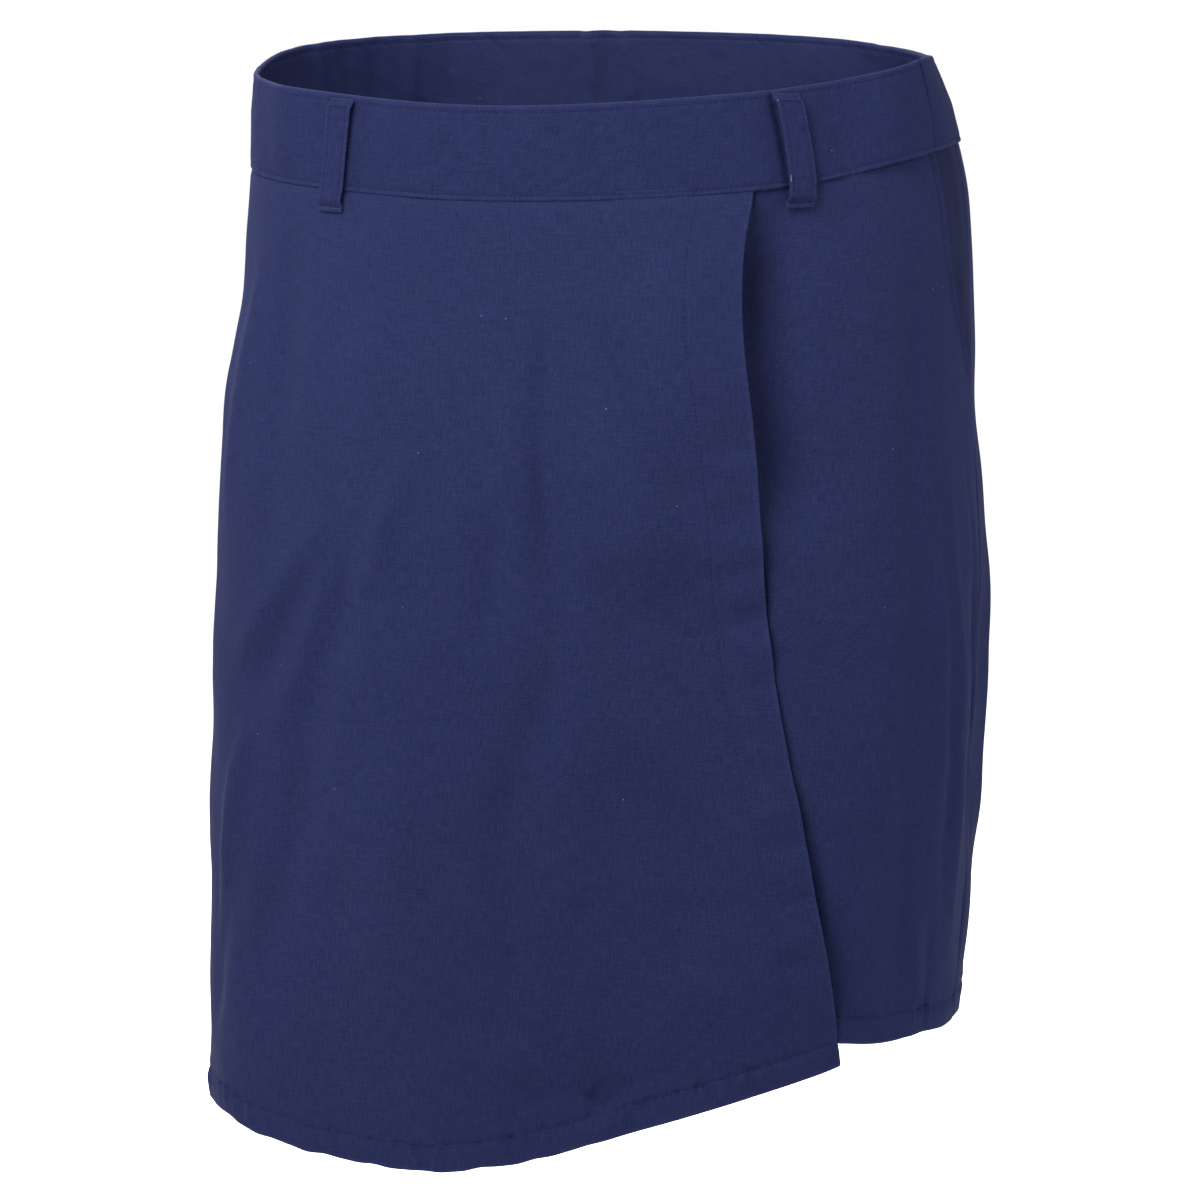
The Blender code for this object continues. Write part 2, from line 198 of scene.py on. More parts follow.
class Fold(NamedTuple):
    """A soft ridge, or a trough where its height is below 0, along a slightly bent line."""
    from_angle: float
    from_z: float
    to_angle: float
    to_z: float
    width: float
    height: float
    bend: float = 0.0

    def relief(self, form: BodyForm, around: Array, z: Array) -> Array:
        """How far the fold raises the cloth. It is lower and narrower toward its ends.

        Args:
            form: The body form.
            around: Ways round the body from the front centre.
            z: Heights.

        Returns:
            The heights, above or below 0.
        """
        begin, end = form.way_round(self.from_angle), form.way_round(self.to_angle)
        over, up = end - begin, self.to_z - self.from_z
        length = float(np.hypot(over, up))
        part = ((around - begin) * over + (z - self.from_z) * up) / length ** 2
        inside = np.clip(part, 0.0, 1.0)
        off = ((z - self.from_z) * over - (around - begin) * up) / length
        off = off - 4.0 * self.bend * inside * (1.0 - inside)
        taper = ease(part / FOLD_TAPER) * ease((1.0 - part) / FOLD_TAPER)
        return self.height * taper * bell(off, self.width * mix(FOLD_NARROWEST, 1.0, taper))


class Hollow(NamedTuple):
    """Where the shorts' fronts lie in from the body, with soft ends."""
    depth: float
    top: float  # below the waistband, in metres
    top_fade: float
    bottom: float
    bottom_fade: float
    reach: float  # past the apron's free edge, in degrees
    reach_fade: float

    def depth_at(self, past_edge: Array, below_band: Array) -> Array:
        """How deep the hollow is.

        Args:
            past_edge: Angles from the apron's free edge.
            below_band: Distances below the waistband.

        Returns:
            The depths.
        """
        down = ease((below_band - self.top) / self.top_fade)
        up = ease((self.bottom - below_band) / self.bottom_fade)
        return self.depth * down * up * ease((self.reach - past_edge) / self.reach_fade)


@dataclass(frozen=True)
class BodyForm:
    """The filled-out body that the cloth lies on: rounded ovals, and the slanting waist."""

    squareness: float = 2.3
    panel_top: float = -0.0195
    waist_fade: float = 0.090
    hip: float = -0.230
    rings: tuple[Ring, ...] = (
        Ring(0.030, 0.1560, 0.1480, 0.096, 0.108),
        Ring(0.000, 0.1580, 0.1595, 0.100, 0.111),
        Ring(-0.030, 0.1587, 0.1667, 0.104, 0.115),
        Ring(-0.080, 0.1626, 0.1705, 0.109, 0.123),
        Ring(-0.130, 0.1720, 0.1722, 0.114, 0.129),
        Ring(-0.180, 0.1758, 0.1756, 0.118, 0.131),
        Ring(-0.230, 0.1767, 0.1780, 0.120, 0.129),
        Ring(-0.280, 0.1750, 0.1769, 0.121, 0.126),
        Ring(-0.330, 0.1727, 0.1732, 0.121, 0.123),
        Ring(-0.412, 0.1672, 0.1664, 0.121, 0.120),
        Ring(-0.480, 0.1632, 0.1623, 0.121, 0.119),
    )
    band: tuple[BandRow, ...] = (
        BandRow(-180.0, 0.0250, -0.0155),
        BandRow(-140.0, 0.0232, -0.0165),
        BandRow(-110.0, 0.0212, -0.0205),
        BandRow(-80.0, 0.0165, -0.0250),
        BandRow(-45.0, 0.0140, -0.0270),
        BandRow(-10.0, 0.0115, -0.0284),
        BandRow(30.0, 0.0180, -0.0225),
        BandRow(60.0, 0.0245, -0.0125),
        BandRow(85.0, 0.0270, -0.0102),
        BandRow(112.0, 0.0232, -0.0135),
        BandRow(145.0, 0.0250, -0.0150),
        BandRow(180.0, 0.0250, -0.0155),
    )
    beside_edge: Hollow = Hollow(depth=0.0108, top=0.0, top_fade=0.040, bottom=0.160, bottom_fade=0.038,
                                 reach=13.0, reach_fade=11.0)
    at_edge: Hollow = Hollow(depth=0.0060, top=0.150, top_fade=0.030, bottom=0.396, bottom_fade=0.028,
                             reach=3.4, reach_fade=2.8)

    NEAR_HEM = 0.0050  # how far the fronts lie in near the leg hems
    NEAR_HEM_AT = 0.358
    NEAR_HEM_SPREAD = 0.030
    NEAR_HEM_REACH = 6.0
    NEAR_HEM_FADE = 5.0
    UNDER_EDGE = 0.0034  # how far they lie in all along the apron's edge
    UNDER_EDGE_REACH = 1.7
    UNDER_EDGE_FADE = 1.6
    UNDER_APRON = 0.0025  # and how much more under the apron
    UNDER_APRON_FROM = -2.0
    UNDER_APRON_FADE = 14.0
    UNDER_FADE = 0.040  # both are less at the waistband
    UNDER_AT_BAND = 0.4

    def point(self, angle: Array, z: Array, out: Array | float = 0.0) -> Array:
        """Places points on the body.

        Args:
            angle: Angles round the body.
            z: Heights.
            out: How far the points stand off the body.

        Returns:
            The points, with x, y and z on the last axis.
        """
        turn = np.radians(angle)
        across, forward = np.sin(turn), np.cos(turn)
        left, right = along(self.rings, "left", z), along(self.rings, "right", z)
        front, back = along(self.rings, "front", z), along(self.rings, "back", z)
        half_width = (right + left) / 2.0 + out
        depth = np.where(forward >= 0.0, front, back) + out
        power = self.squareness
        reach = (np.abs(across) ** power + np.abs(forward) ** power) ** (-1.0 / power)
        middle = (left - right) / 2.0
        z = np.broadcast_to(z, reach.shape)
        return np.stack((middle + half_width * reach * across, -depth * reach * forward, z), -1)

    def band_edge(self, edge: str, angle: Array) -> Array:
        """The height of the waistband's "top" or "bottom" edge at any angle from -180 to 360."""
        return along(self.band, edge, (np.asarray(angle) + 180.0) % 360.0 - 180.0)

    def below_band(self, angle: Array, level: Array) -> Array:
        """The heights of a panel's rows at angles: the top row follows the waistband's slant."""
        slant = self.band_edge("bottom", angle) - self.panel_top
        return level + slant * (1.0 - ease((self.panel_top - level) / self.waist_fade))

    def room_under(self, past_edge: Array, z: Array) -> Array:
        """How far the shorts' fronts lie in from the body, under the apron and beside its free edge.

        Args:
            past_edge: Angles from the apron's free edge, below 0 under the apron.
            z: Heights.

        Returns:
            The distances.
        """
        below_band = self.panel_top - z
        near_hem = self.NEAR_HEM * bell(below_band - self.NEAR_HEM_AT, self.NEAR_HEM_SPREAD)
        near_hem = near_hem * ease((self.NEAR_HEM_REACH - past_edge) / self.NEAR_HEM_FADE)
        under = self.UNDER_EDGE * ease((self.UNDER_EDGE_REACH - past_edge) / self.UNDER_EDGE_FADE)
        under = under + self.UNDER_APRON * ease((self.UNDER_APRON_FROM - past_edge) / self.UNDER_APRON_FADE)
        under = under * ease(below_band / self.UNDER_FADE + self.UNDER_AT_BAND)
        at_edge = self.at_edge.depth_at(past_edge, below_band)
        beside = self.beside_edge.depth_at(past_edge, below_band)
        return np.maximum(np.maximum(beside, near_hem), np.maximum(under, at_edge))

    def way_round(self, angle: Array | float) -> Array:
        """The way round the hip from the front centre to angles from -180 to 360, in metres.

        Args:
            angle: The angles.

        Returns:
            The distances, below 0 on the wearer's right.
        """
        turns = np.arange(-180.0, 361.0, 2.0)
        ring = self.point(turns, np.full_like(turns, self.hip))
        way = np.concatenate(([0.0], np.cumsum(np.linalg.norm(np.diff(ring, axis=0), axis=1))))
        return np.interp(angle, turns, way - np.interp(0.0, turns, way))


@dataclass(frozen=True)
class Unevenness:
    """Slight hills and hollows of cloth that has been handled."""

    height: float
    size: float
    seed: int
    waves: int = 16

    PITCHES = (0.6, 1.8)  # the shortest and longest wave, in sizes

    def relief(self, x: Array, y: Array) -> Array:
        """How far the cloth is raised.

        Args:
            x: Places across the cloth, in metres.
            y: Places down the cloth, in metres.

        Returns:
            The heights, above or below 0.
        """
        random = np.random.default_rng(self.seed)
        total = np.zeros(np.broadcast(x, y).shape)
        for _ in range(self.waves):
            heading, phase = random.uniform(0.0, 2.0 * pi, 2)
            pitch = self.size * random.uniform(*self.PITCHES)
            total += np.sin((x * np.cos(heading) + y * np.sin(heading)) * 2.0 * pi / pitch + phase)
        return total * self.height / (self.waves / 2.0) ** 0.5


@dataclass(frozen=True)
class Pucker:
    """Short ripples, across a row of stitches, that the thread draws into the cloth."""

    height: float
    reach: float
    spacing: float
    seed: int
    waves: int = 6

    PITCHES = (0.7, 2.2)  # the shortest and longest ripple, in spacings
    BURSTS = 9.0  # how far apart the stronger ripples lie, in spacings
    UNEVEN = 0.45  # and how much stronger or weaker they are than the mean
    MEAN = 0.55
    SHIFT = 6.0  # the most by which they are shifted, in radians

    def relief(self, off: Array, run: Array) -> Array:
        """How far the cloth is raised.

        Args:
            off: Distances from the row of stitches.
            run: Places along it, in metres.

        Returns:
            The heights, above or below 0.
        """
        random = np.random.default_rng(self.seed)
        ripples = np.zeros(np.shape(run))
        for _ in range(self.waves):
            pitch = self.spacing * random.uniform(*self.PITCHES)
            ripples += np.sin(run * 2.0 * pi / pitch + random.uniform(0.0, 2.0 * pi))
        phase = random.uniform(0.0, self.SHIFT)
        burst = self.MEAN + self.UNEVEN * np.sin(run * 2.0 * pi / (self.spacing * self.BURSTS) + phase)
        return self.height * bell(off, self.reach) * ripples * burst / (self.waves / 2.0) ** 0.5


class Face(Enum):
    """A side of the cloth."""
    OUTSIDE = 1
    INSIDE = -1


class Rim(Enum):
    """How an edge of a panel is finished: how round it is, from 0 to 1."""
    FOLDED = 0.95
    SEAMED = 0.30


class Slot(Enum):
    """The finishes that pieces share."""
    PANELS = "navy_twill"
    BAND = "navy_twill_band"
    POCKET = "pocket_facing_twill"


class Band(Enum):
    """The halves of the waistband, from which the other pieces hang."""
    FRONT = "waistband_front_cloth"
    BACK = "waistband_back_cloth"


class Rims(NamedTuple):
    """The finish of a panel's four edges."""
    top: Rim = Rim.SEAMED
    right: Rim = Rim.SEAMED
    bottom: Rim = Rim.SEAMED
    left: Rim = Rim.SEAMED


class Lay(NamedTuple):
    """Where the middle of the cloth lies on the body."""
    angle: Array
    z: Array
    point: Array


class Margins(NamedTuple):
    """Distances to a panel's four edges, in metres."""
    left: Array
    right: Array
    top: Array
    bottom: Array


class Zone(NamedTuple):
    """A strip along a panel's edge that has close rows or columns of points."""
    width: float
    step: float

    def near(self, away: float) -> Array:
        """1 in the strip, and 0 further from the edge."""
        return ease((self.width * (1.0 + ZONE_FADE) - away) / (self.width * ZONE_FADE))


def graded(length: float, step: float, first: Zone, last: Zone) -> Array:
    """Spaces points along a length, closer together near its ends.

    Args:
        length: The length, in metres.
        step: The spacing away from the ends.
        first: The close strip at the start.
        last: The close strip at the end.

    Returns:
        Places from 0 to 1.
    """
    places = [0.0]
    while places[-1] < length:
        here = places[-1]
        spacing = mix(step, first.step, first.near(here))
        places.append(here + mix(spacing, last.step, last.near(length - here)))
    spaced = np.array(places)
    return spaced / spaced[-1]


def closed_mesh(name: str, points: Array, quads: Array) -> bpy.types.Mesh:
    """Makes a mesh, and turns it right side out.

    Args:
        name: The mesh's name.
        points: Its vertices.
        quads: Four vertices for each face.

    Returns:
        The smooth-shaded mesh.
    """
    corners = points[quads]
    normals = np.cross(corners[:, 2] - corners[:, 0], corners[:, 3] - corners[:, 1])
    if np.sum(corners.mean(1) * normals) < 0.0:
        quads = quads[:, ::-1]
    mesh = bpy.data.meshes.new(name)
    mesh.from_pydata(points.tolist(), [], quads.tolist())
    mesh.shade_smooth()
    return mesh


def grid_quads(rows: int, columns: int, start: int = 0) -> Array:
    """Faces of a grid of vertices that are numbered row by row from start.

    Args:
        rows: How many rows of vertices there are.
        columns: How many vertices there are in a row.
        start: The first vertex's number.

    Returns:
        Four vertex numbers for each face.
    """
    first = start + np.arange(rows - 1)[:, None] * columns + np.arange(columns - 1)[None, :]
    first = first.ravel()
    return np.stack((first, first + 1, first + columns + 1, first + columns), 1)


def add_piece(name: str, mesh: bpy.types.Mesh, finish: Finish) -> bpy.types.Object:
    """Puts a piece in the frame.

    Args:
        name: The piece's name.
        mesh: Its shape.
        finish: Its finish.

    Returns:
        The piece.
    """
    mesh.materials.append(finish.material())
    piece = bpy.data.objects.new(name, mesh)
    bpy.context.scene.collection.objects.link(piece)
    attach(piece, "root")
    return piece


@dataclass
class Panel(ABC):
    """A piece of cloth on the body form, made as one thin closed shell."""

    name: str
    node: str
    form: BodyForm
    finish: Finish
    slot: Slot = Slot.PANELS
    cloth: float = 0.0011
    rims: Rims = Rims()
    hung_from: Band = Band.FRONT
    places: Array = field(init=False)
    widths: Array = field(init=False)
    lengths: Array = field(init=False)

    RIM_STEPS = 5
    SAMPLES = 49  # rows and columns at which the panel is measured
    NUDGE = 0.0015
    PAINTED_TOP_LIGHT = 0.25  # painted light: how much paler the cloth is painted at its top, for the light that falls more on the top
    PAINTED_TOP_LIGHT_DOWN_TO = 0.42
    EDGE_WEAR_AND_HIGHLIGHT = 0.30  # how pale a folded edge is painted: partly abrasion, partly a painted highlight along the fold
    EDGE_WEAR_AND_HIGHLIGHT_WIDTH = 0.0008

    def __post_init__(self) -> None:
        """Measures the panel, so that distances can be given in metres."""
        self.places = np.linspace(0.0, 1.0, self.SAMPLES)
        down, across = np.meshgrid(self.places, self.places, indexing="ij")
        points = self.lay(across, down).point
        self.widths = np.linalg.norm(np.diff(points, axis=1), axis=2).sum(1)
        self.lengths = np.linalg.norm(np.diff(points, axis=0), axis=2).sum(0)

    @abstractmethod
    def lay(self, across: Array, down: Array) -> Lay:
        """Lays the middle of the smooth cloth on the body.

        Args:
            across: Places across the panel, from 0 to 1.
            down: Places down the panel, from 0 to 1.

        Returns:
            The angles, heights and points.
        """

    @abstractmethod
    def relief(self, lay: Lay, margins: Margins) -> Array:
        """How far the cloth is raised by its folds, stitching and unevenness.

        Args:
            lay: Where the smooth cloth lies.
            margins: Distances to the panel's edges.

        Returns:
            The heights, above or below 0.
        """

    @abstractmethod
    def grid(self) -> tuple[Array, Array]:
        """The places of the shell's columns and rows, from 0 to 1."""

    def layers(self, margins: Margins) -> tuple[Array, Array]:
        """How thick the cloth is outside and inside its middle."""
        half = np.full(margins.left.shape, self.cloth / 2.0)
        return half, half

    def worn(self, margins: Margins, face: Face) -> Array:
        """Paleness painted on a side, 0 to 1: abrasion plus a painted highlight at folded edges, painted
        light at the top.

        Args:
            margins: Distances to the panel's edges.
            face: The side of the cloth.

        Returns:
            The paleness.
        """
        edges = ((self.rims.left, margins.left), (self.rims.right, margins.right),
                 (self.rims.top, margins.top), (self.rims.bottom, margins.bottom))
        worn = np.zeros(margins.left.shape)
        for rim, margin in edges:
            # folded edges are paler: abrasion, and a painted highlight along the fold
            if rim is Rim.FOLDED:
                worn = np.maximum(worn, self.EDGE_WEAR_AND_HIGHLIGHT * bell(margin, self.EDGE_WEAR_AND_HIGHLIGHT_WIDTH))
        # the top is painted paler: painted light, for the light that falls more on the top
        return worn + self.PAINTED_TOP_LIGHT * ease((self.PAINTED_TOP_LIGHT_DOWN_TO - margins.top) / self.PAINTED_TOP_LIGHT_DOWN_TO)

    def margins(self, across: Array, down: Array) -> Margins:
        """Distances to the panel's four edges, for places across and down it.

        Args:
            across: Places across the panel, from 0 to 1.
            down: Places down the panel, from 0 to 1.

        Returns:
            The distances.
        """
        width = np.interp(down, self.places, self.widths)
        length = np.interp(across, self.places, self.lengths)
        return Margins(across * width, (1.0 - across) * width, down * length, (1.0 - down) * length)

    def outward(self, across: Array, down: Array) -> Array:
        """Unit vectors out of the smooth cloth, for places across and down it.

        Args:
            across: Places across the panel, from 0 to 1.
            down: Places down the panel, from 0 to 1.

        Returns:
            The vectors.
        """
        step = self.NUDGE
        left, right = np.clip(across - step, 0.0, 1.0), np.clip(across + step, 0.0, 1.0)
        high, low = np.clip(down - step, 0.0, 1.0), np.clip(down + step, 0.0, 1.0)
        over = self.lay(right, down).point - self.lay(left, down).point
        drop = self.lay(across, low).point - self.lay(across, high).point
        return unit(np.cross(drop, over)) * self.turned()

    def turned(self) -> float:
        """1 where across runs toward the wearer's left on the outside, and -1 where it runs right."""
        return 1.0

    def surface(self, across: Array, down: Array, face: Face) -> tuple[Array, Array]:
        """Finds points on the finished cloth.

        Args:
            across: Places across the panel.
            down: Places down it.
            face: Which side of the cloth.

        Returns:
            The points, and unit vectors out of that side.
        """
        lay = self.lay(across, down)
        margins = self.margins(across, down)
        outward = self.outward(across, down)
        outer, inner = self.layers(margins)
        offset = outer if face is Face.OUTSIDE else -inner
        point = lay.point + outward * (self.relief(lay, margins) + offset)[..., None]
        return point, outward * face.value

    def shell(self) -> bpy.types.Mesh:
        """Makes the closed shell, with its rims rounded.

        Returns:
            A mesh with two attributes: cloth, which holds places on the cloth in metres, and the paleness
                painted for abrasion, for highlights on folded edges and for light.
        """
        columns, rows = self.grid()
        down, across = np.meshgrid(rows, columns, indexing="ij")
        outer = self.surface(across, down, Face.OUTSIDE)[0]
        inner = self.surface(across, down, Face.INSIDE)[0]
        margins = self.margins(across, down)
        cloth = np.stack((margins.left, margins.top, np.zeros_like(down)), -1)
        worn, inside_wear_and_painted_light = (self.worn(margins, face).ravel() for face in Face)

        height, width = down.shape
        top, bottom = np.arange(width), (height - 1) * width + np.arange(width)[::-1]
        right = (np.arange(1, height - 1) + 1) * width - 1
        left = np.arange(1, height - 1)[::-1] * width
        rim = np.concatenate((top, right, bottom, left))
        away, round_off = self.rim_directions(outer)
        high, low = outer.reshape(-1, 3)[rim], inner.reshape(-1, 3)[rim]
        half = (high - low) / 2.0
        bulge = away * (np.linalg.norm(half, axis=1) * round_off)[:, None]

        points = [outer.reshape(-1, 3), inner.reshape(-1, 3)]
        places = [cloth.reshape(-1, 3)] * 2
        paleness_parts = [worn, inside_wear_and_painted_light]
        size = height * width
        quads = [grid_quads(height, width), grid_quads(height, width, size)[:, ::-1]]
        ring = rim
        for step in range(1, self.RIM_STEPS + 1):
            turn = pi * step / self.RIM_STEPS
            if step < self.RIM_STEPS:
                points.append((high + low) / 2.0 + half * np.cos(turn) + bulge * np.sin(turn))
                places.append(cloth.reshape(-1, 3)[rim])
                paleness_parts.append(worn[rim])
                following = 2 * size + (step - 1) * len(rim) + np.arange(len(rim))
            else:
                following = rim + size
            quads.append(np.stack((ring, following, np.roll(following, -1), np.roll(ring, -1)), 1))
            ring = following

        mesh = closed_mesh(self.name, np.concatenate(points), np.concatenate(quads))
        mesh.attributes.new("cloth", "FLOAT_VECTOR", "POINT").data.foreach_set(
            "vector", np.concatenate(places).astype(np.float32).ravel())
        # the paleness of abrasion, painted highlights and painted light, for the finish
        mesh.attributes.new("worn", "FLOAT", "POINT").data.foreach_set(
            "value", np.concatenate(paleness_parts).astype(np.float32))
        return mesh

    def rim_directions(self, grid: Array) -> tuple[Array, Array]:
        """Finds which way the panel's edges face, in the plane of the cloth.

        Args:
            grid: The points of the shell's outer side, in rows and columns.

        Returns:
            For each point round the edge, a unit vector away from the panel, and its roundness.
        """
        away = np.zeros_like(grid)
        roundness = np.zeros(grid.shape[:2])
        for edge, inside, rim in ((0, 1, self.rims.top), (-1, -2, self.rims.bottom)):
            away[edge] += unit(grid[edge] - grid[inside])
            roundness[edge] = rim.value
        for edge, inside, rim in ((0, 1, self.rims.left), (-1, -2, self.rims.right)):
            away[:, edge] += unit(grid[:, edge] - grid[:, inside])
            roundness[1:-1, edge] = rim.value
        ring = [away[0], away[1:-1, -1], away[-1, ::-1], away[1:-1, 0][::-1]]
        amount = [roundness[0], roundness[1:-1, -1], roundness[-1, ::-1], roundness[1:-1, 0][::-1]]
        return unit(np.concatenate(ring)), np.concatenate(amount)

    def build(self, trims: Sequence[bpy.types.Object] = ()) -> bpy.types.Object:
        """Makes the piece, dresses it and puts it in the frame.

        Args:
            trims: The stitching that lies on it. Not used.

        Returns:
            The finished piece.
        """
        mesh = self.shell()
        piece = add_piece(self.name, mesh, self.finish)
        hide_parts(self.node)
        return piece


def fold_relief(folds: Sequence[Fold], form: BodyForm, lay: Lay) -> Array:
    """Adds up the given folds.

    Args:
        folds: The folds.
        form: The body form, which gives distances round the body.
        lay: Where the smooth cloth lies.

    Returns:
        How far the cloth is raised.
    """
    around = form.way_round(lay.angle)
    total = np.zeros(around.shape)
    for fold in folds:
        total += fold.relief(form, around, lay.z)
    return total


@dataclass
class WaistbandHalf(Panel):
    """Half of the waistband, from one side seam round to the other."""

    slot: Slot = Slot.BAND
    cloth: float = 0.0026
    rims: Rims = Rims(top=Rim.FOLDED, bottom=Rim.FOLDED)
    first_top: float = -88.0
    first_bottom: float = -88.0
    last_top: float = 80.5
    last_bottom: float = 71.0
    folds: tuple[Fold, ...] = ()
    seed: int = 1

    STANDS_OUT = 0.0002  # the middle of the band, over the panels' outer face
    REACH = 0.158  # from the middle of the body to the side seams
    TOP_ROW = 0.0021  # the rows of stitches, from the edges
    BOTTOM_ROW = 0.0016
    PAINTED_TOP_LIGHT = 0.0
    PAINTED_INSIDE_LIGHT = 0.95  # painted light: how much paler the inside is painted at its middle, where light falls in through the waist
    PAINTED_INSIDE_LIGHT_OUT_TO = 0.13  # from the middle, along the band
    PAINTED_INSIDE_LIGHT_FADE = 0.07
    ROW_GROOVE = Groove(0.00026, 0.0010)
    END_DIP = Groove(0.0005, 0.0016)
    SWELL = 0.00018  # how much thicker each half of the cloth is between the rows
    COLUMN_SPACING = 0.0013
    ROW_SPACING = 0.0017

    def lay(self, across: Array, down: Array) -> Lay:
        """Lays the band between its two edges. See Panel.lay."""
        gap = np.degrees(CURVED_SEAM / 2.0 / self.REACH)
        begin = mix(self.first_top, self.first_bottom, down) + gap
        end = mix(self.last_top, self.last_bottom, down) - gap
        angle = mix(begin, end, across)
        top, bottom = self.form.band_edge("top", angle), self.form.band_edge("bottom", angle)
        z = mix(top, bottom, down)
        return Lay(angle, z, self.form.point(angle, z, self.STANDS_OUT))

    def relief(self, lay: Lay, margins: Margins) -> Array:
        """Ripples along the stitched edges, and slight hollows. See Panel.relief."""
        x, y, seed = margins.left, margins.top, self.seed
        rise = Unevenness(height=0.00022, size=0.045, seed=seed).relief(x, y)
        rise += Unevenness(height=0.00006, size=0.012, seed=seed + 1).relief(x, y)
        top = Pucker(height=0.00010, reach=0.0035, spacing=0.0065, seed=seed + 2)
        bottom = Pucker(height=0.00012, reach=0.0035, spacing=0.0070, seed=seed + 3)
        rise += top.relief(y - self.TOP_ROW, x) + bottom.relief(margins.bottom - self.BOTTOM_ROW, x)
        rise += self.END_DIP.relief(margins.left) + self.END_DIP.relief(margins.right)
        return rise + fold_relief(self.folds, self.form, lay)

    def layers(self, margins: Margins) -> tuple[Array, Array]:
        """Two layers that swell a little between the rows of stitches. See Panel.layers."""
        pinch = self.ROW_GROOVE.relief(margins.top - self.TOP_ROW)
        pinch = pinch + self.ROW_GROOVE.relief(margins.bottom - self.BOTTOM_ROW)
        height = margins.top + margins.bottom
        swell = self.SWELL * np.sin(pi * np.clip(margins.top / height, 0.0, 1.0))
        half = self.cloth / 2.0 + swell + pinch
        return half, half

    def worn(self, margins: Margins, face: Face) -> Array:
        """The inside is painted paler at its middle as well: painted light. See the same method of Panel."""
        worn = super().worn(margins, face)
        if face is Face.INSIDE:
            off = np.abs(margins.left - margins.right) / 2.0
            # painted light: the inside is painted paler at its middle
            worn = worn + self.PAINTED_INSIDE_LIGHT * ease((self.PAINTED_INSIDE_LIGHT_OUT_TO - off) / self.PAINTED_INSIDE_LIGHT_FADE)
        return worn

    def grid(self) -> tuple[Array, Array]:
        """Close rows near both edges. See Panel.grid."""
        ends, edges = Zone(0.004, 0.0008), Zone(0.004, 0.0006)
        columns = graded(float(self.widths.max()), self.COLUMN_SPACING, ends, ends)
        return columns, graded(float(self.lengths.mean()), self.ROW_SPACING, edges, edges)


@dataclass
class BeltLoop(Panel):
    """A belt loop: tacked to the band and to the panel below it, and bowed out in between."""

    slot: Slot = Slot.BAND
    cloth: float = 0.0011
    rims: Rims = Rims(Rim.FOLDED, Rim.FOLDED, Rim.FOLDED, Rim.FOLDED)
    top_angle: float = 0.0
    bottom_angle: float = 0.0
    bow: float = 0.005
    twist: float = 0.0  # how much more its first long edge bows out than its middle
    under: Callable[[Array, Array], Array] = lambda angle, z: 0.0 * z
    seed: int = 40

    WIDTH = 0.0115
    BELOW_TOP = 0.0012  # its top edge, below the band's
    TAIL = 0.0100  # its bottom edge, below the band's
    BAND_FACE = 0.0019  # how far the band's outer face stands off the body
    HELD = 0.03  # this part of its length is held flat at the bottom
    RISE = 0.075  # and it bows out within this part at both ends
    STEP_FROM = 0.70  # where it starts down from the band onto the panel
    STEP = 0.27
    EDGE_ROW = 0.0016  # the rows of stitches, from its long edges
    ROW_GROOVE = Groove(0.00016, 0.0007)
    TURNED_TOP = 0.009  # how long the folded-under ends are
    TURNED_BOTTOM = 0.007
    TURNED_OVER = 0.002
    TURNED_CLOTH = 0.0003
    COLUMN_SPACING = 0.0007
    ROW_SPACING = 0.0009
    PAINTED_TOP_LIGHT = 0.0

    def lay(self, across: Array, down: Array) -> Lay:
        """Lays the loop over the band and down onto the panel. See Panel.lay."""
        start = self.form.band_edge("top", self.top_angle) - self.BELOW_TOP
        end = self.form.band_edge("bottom", self.bottom_angle) - self.TAIL
        z = mix(start, end, down)
        line = mix(self.top_angle, self.bottom_angle, down)
        seat = mix(self.BAND_FACE, self.under(line, z) + SEAM, ease((down - self.STEP_FROM) / self.STEP))
        bow = self.bow * ease(down / self.RISE) * ease((1.0 - self.HELD - down) / self.RISE)
        bow = bow * (1.0 + self.twist * (1.0 - 2.0 * across))
        sides = np.array([self.top_angle - 0.5, self.top_angle + 0.5])
        degree = float(np.linalg.norm(np.diff(self.form.point(sides, np.zeros(2)), axis=0)))
        angle = line + (across - 0.5) * self.WIDTH / degree
        return Lay(angle, z, self.form.point(angle, z, seat + bow + self.cloth / 2.0))

    def relief(self, lay: Lay, margins: Margins) -> Array:
        """The pull of its stitches. See Panel.relief."""
        rise = Unevenness(height=0.00010, size=0.012, seed=self.seed).relief(margins.left, margins.top)
        drawn = Pucker(height=0.00006, reach=0.0020, spacing=0.0040, seed=self.seed + 1)
        for margin in (margins.left, margins.right):
            off = margin - self.EDGE_ROW
            rise += self.ROW_GROOVE.relief(off) + drawn.relief(off, margins.top)
        return rise

    def layers(self, margins: Margins) -> tuple[Array, Array]:
        """Thicker where the ends are folded under. See Panel.layers."""
        turned = ease((self.TURNED_TOP - margins.top) / self.TURNED_OVER)
        turned = turned + ease((self.TURNED_BOTTOM - margins.bottom) / self.TURNED_OVER)
        half = self.cloth / 2.0
        return half + self.TURNED_CLOTH * turned, np.full(turned.shape, half)

    def grid(self) -> tuple[Array, Array]:
        """Close points all over. See Panel.grid."""
        ends = Zone(0.002, 0.0003)
        columns = graded(self.WIDTH, self.COLUMN_SPACING, ends, ends)
        return columns, graded(float(self.lengths[0]), self.ROW_SPACING, ends, ends)


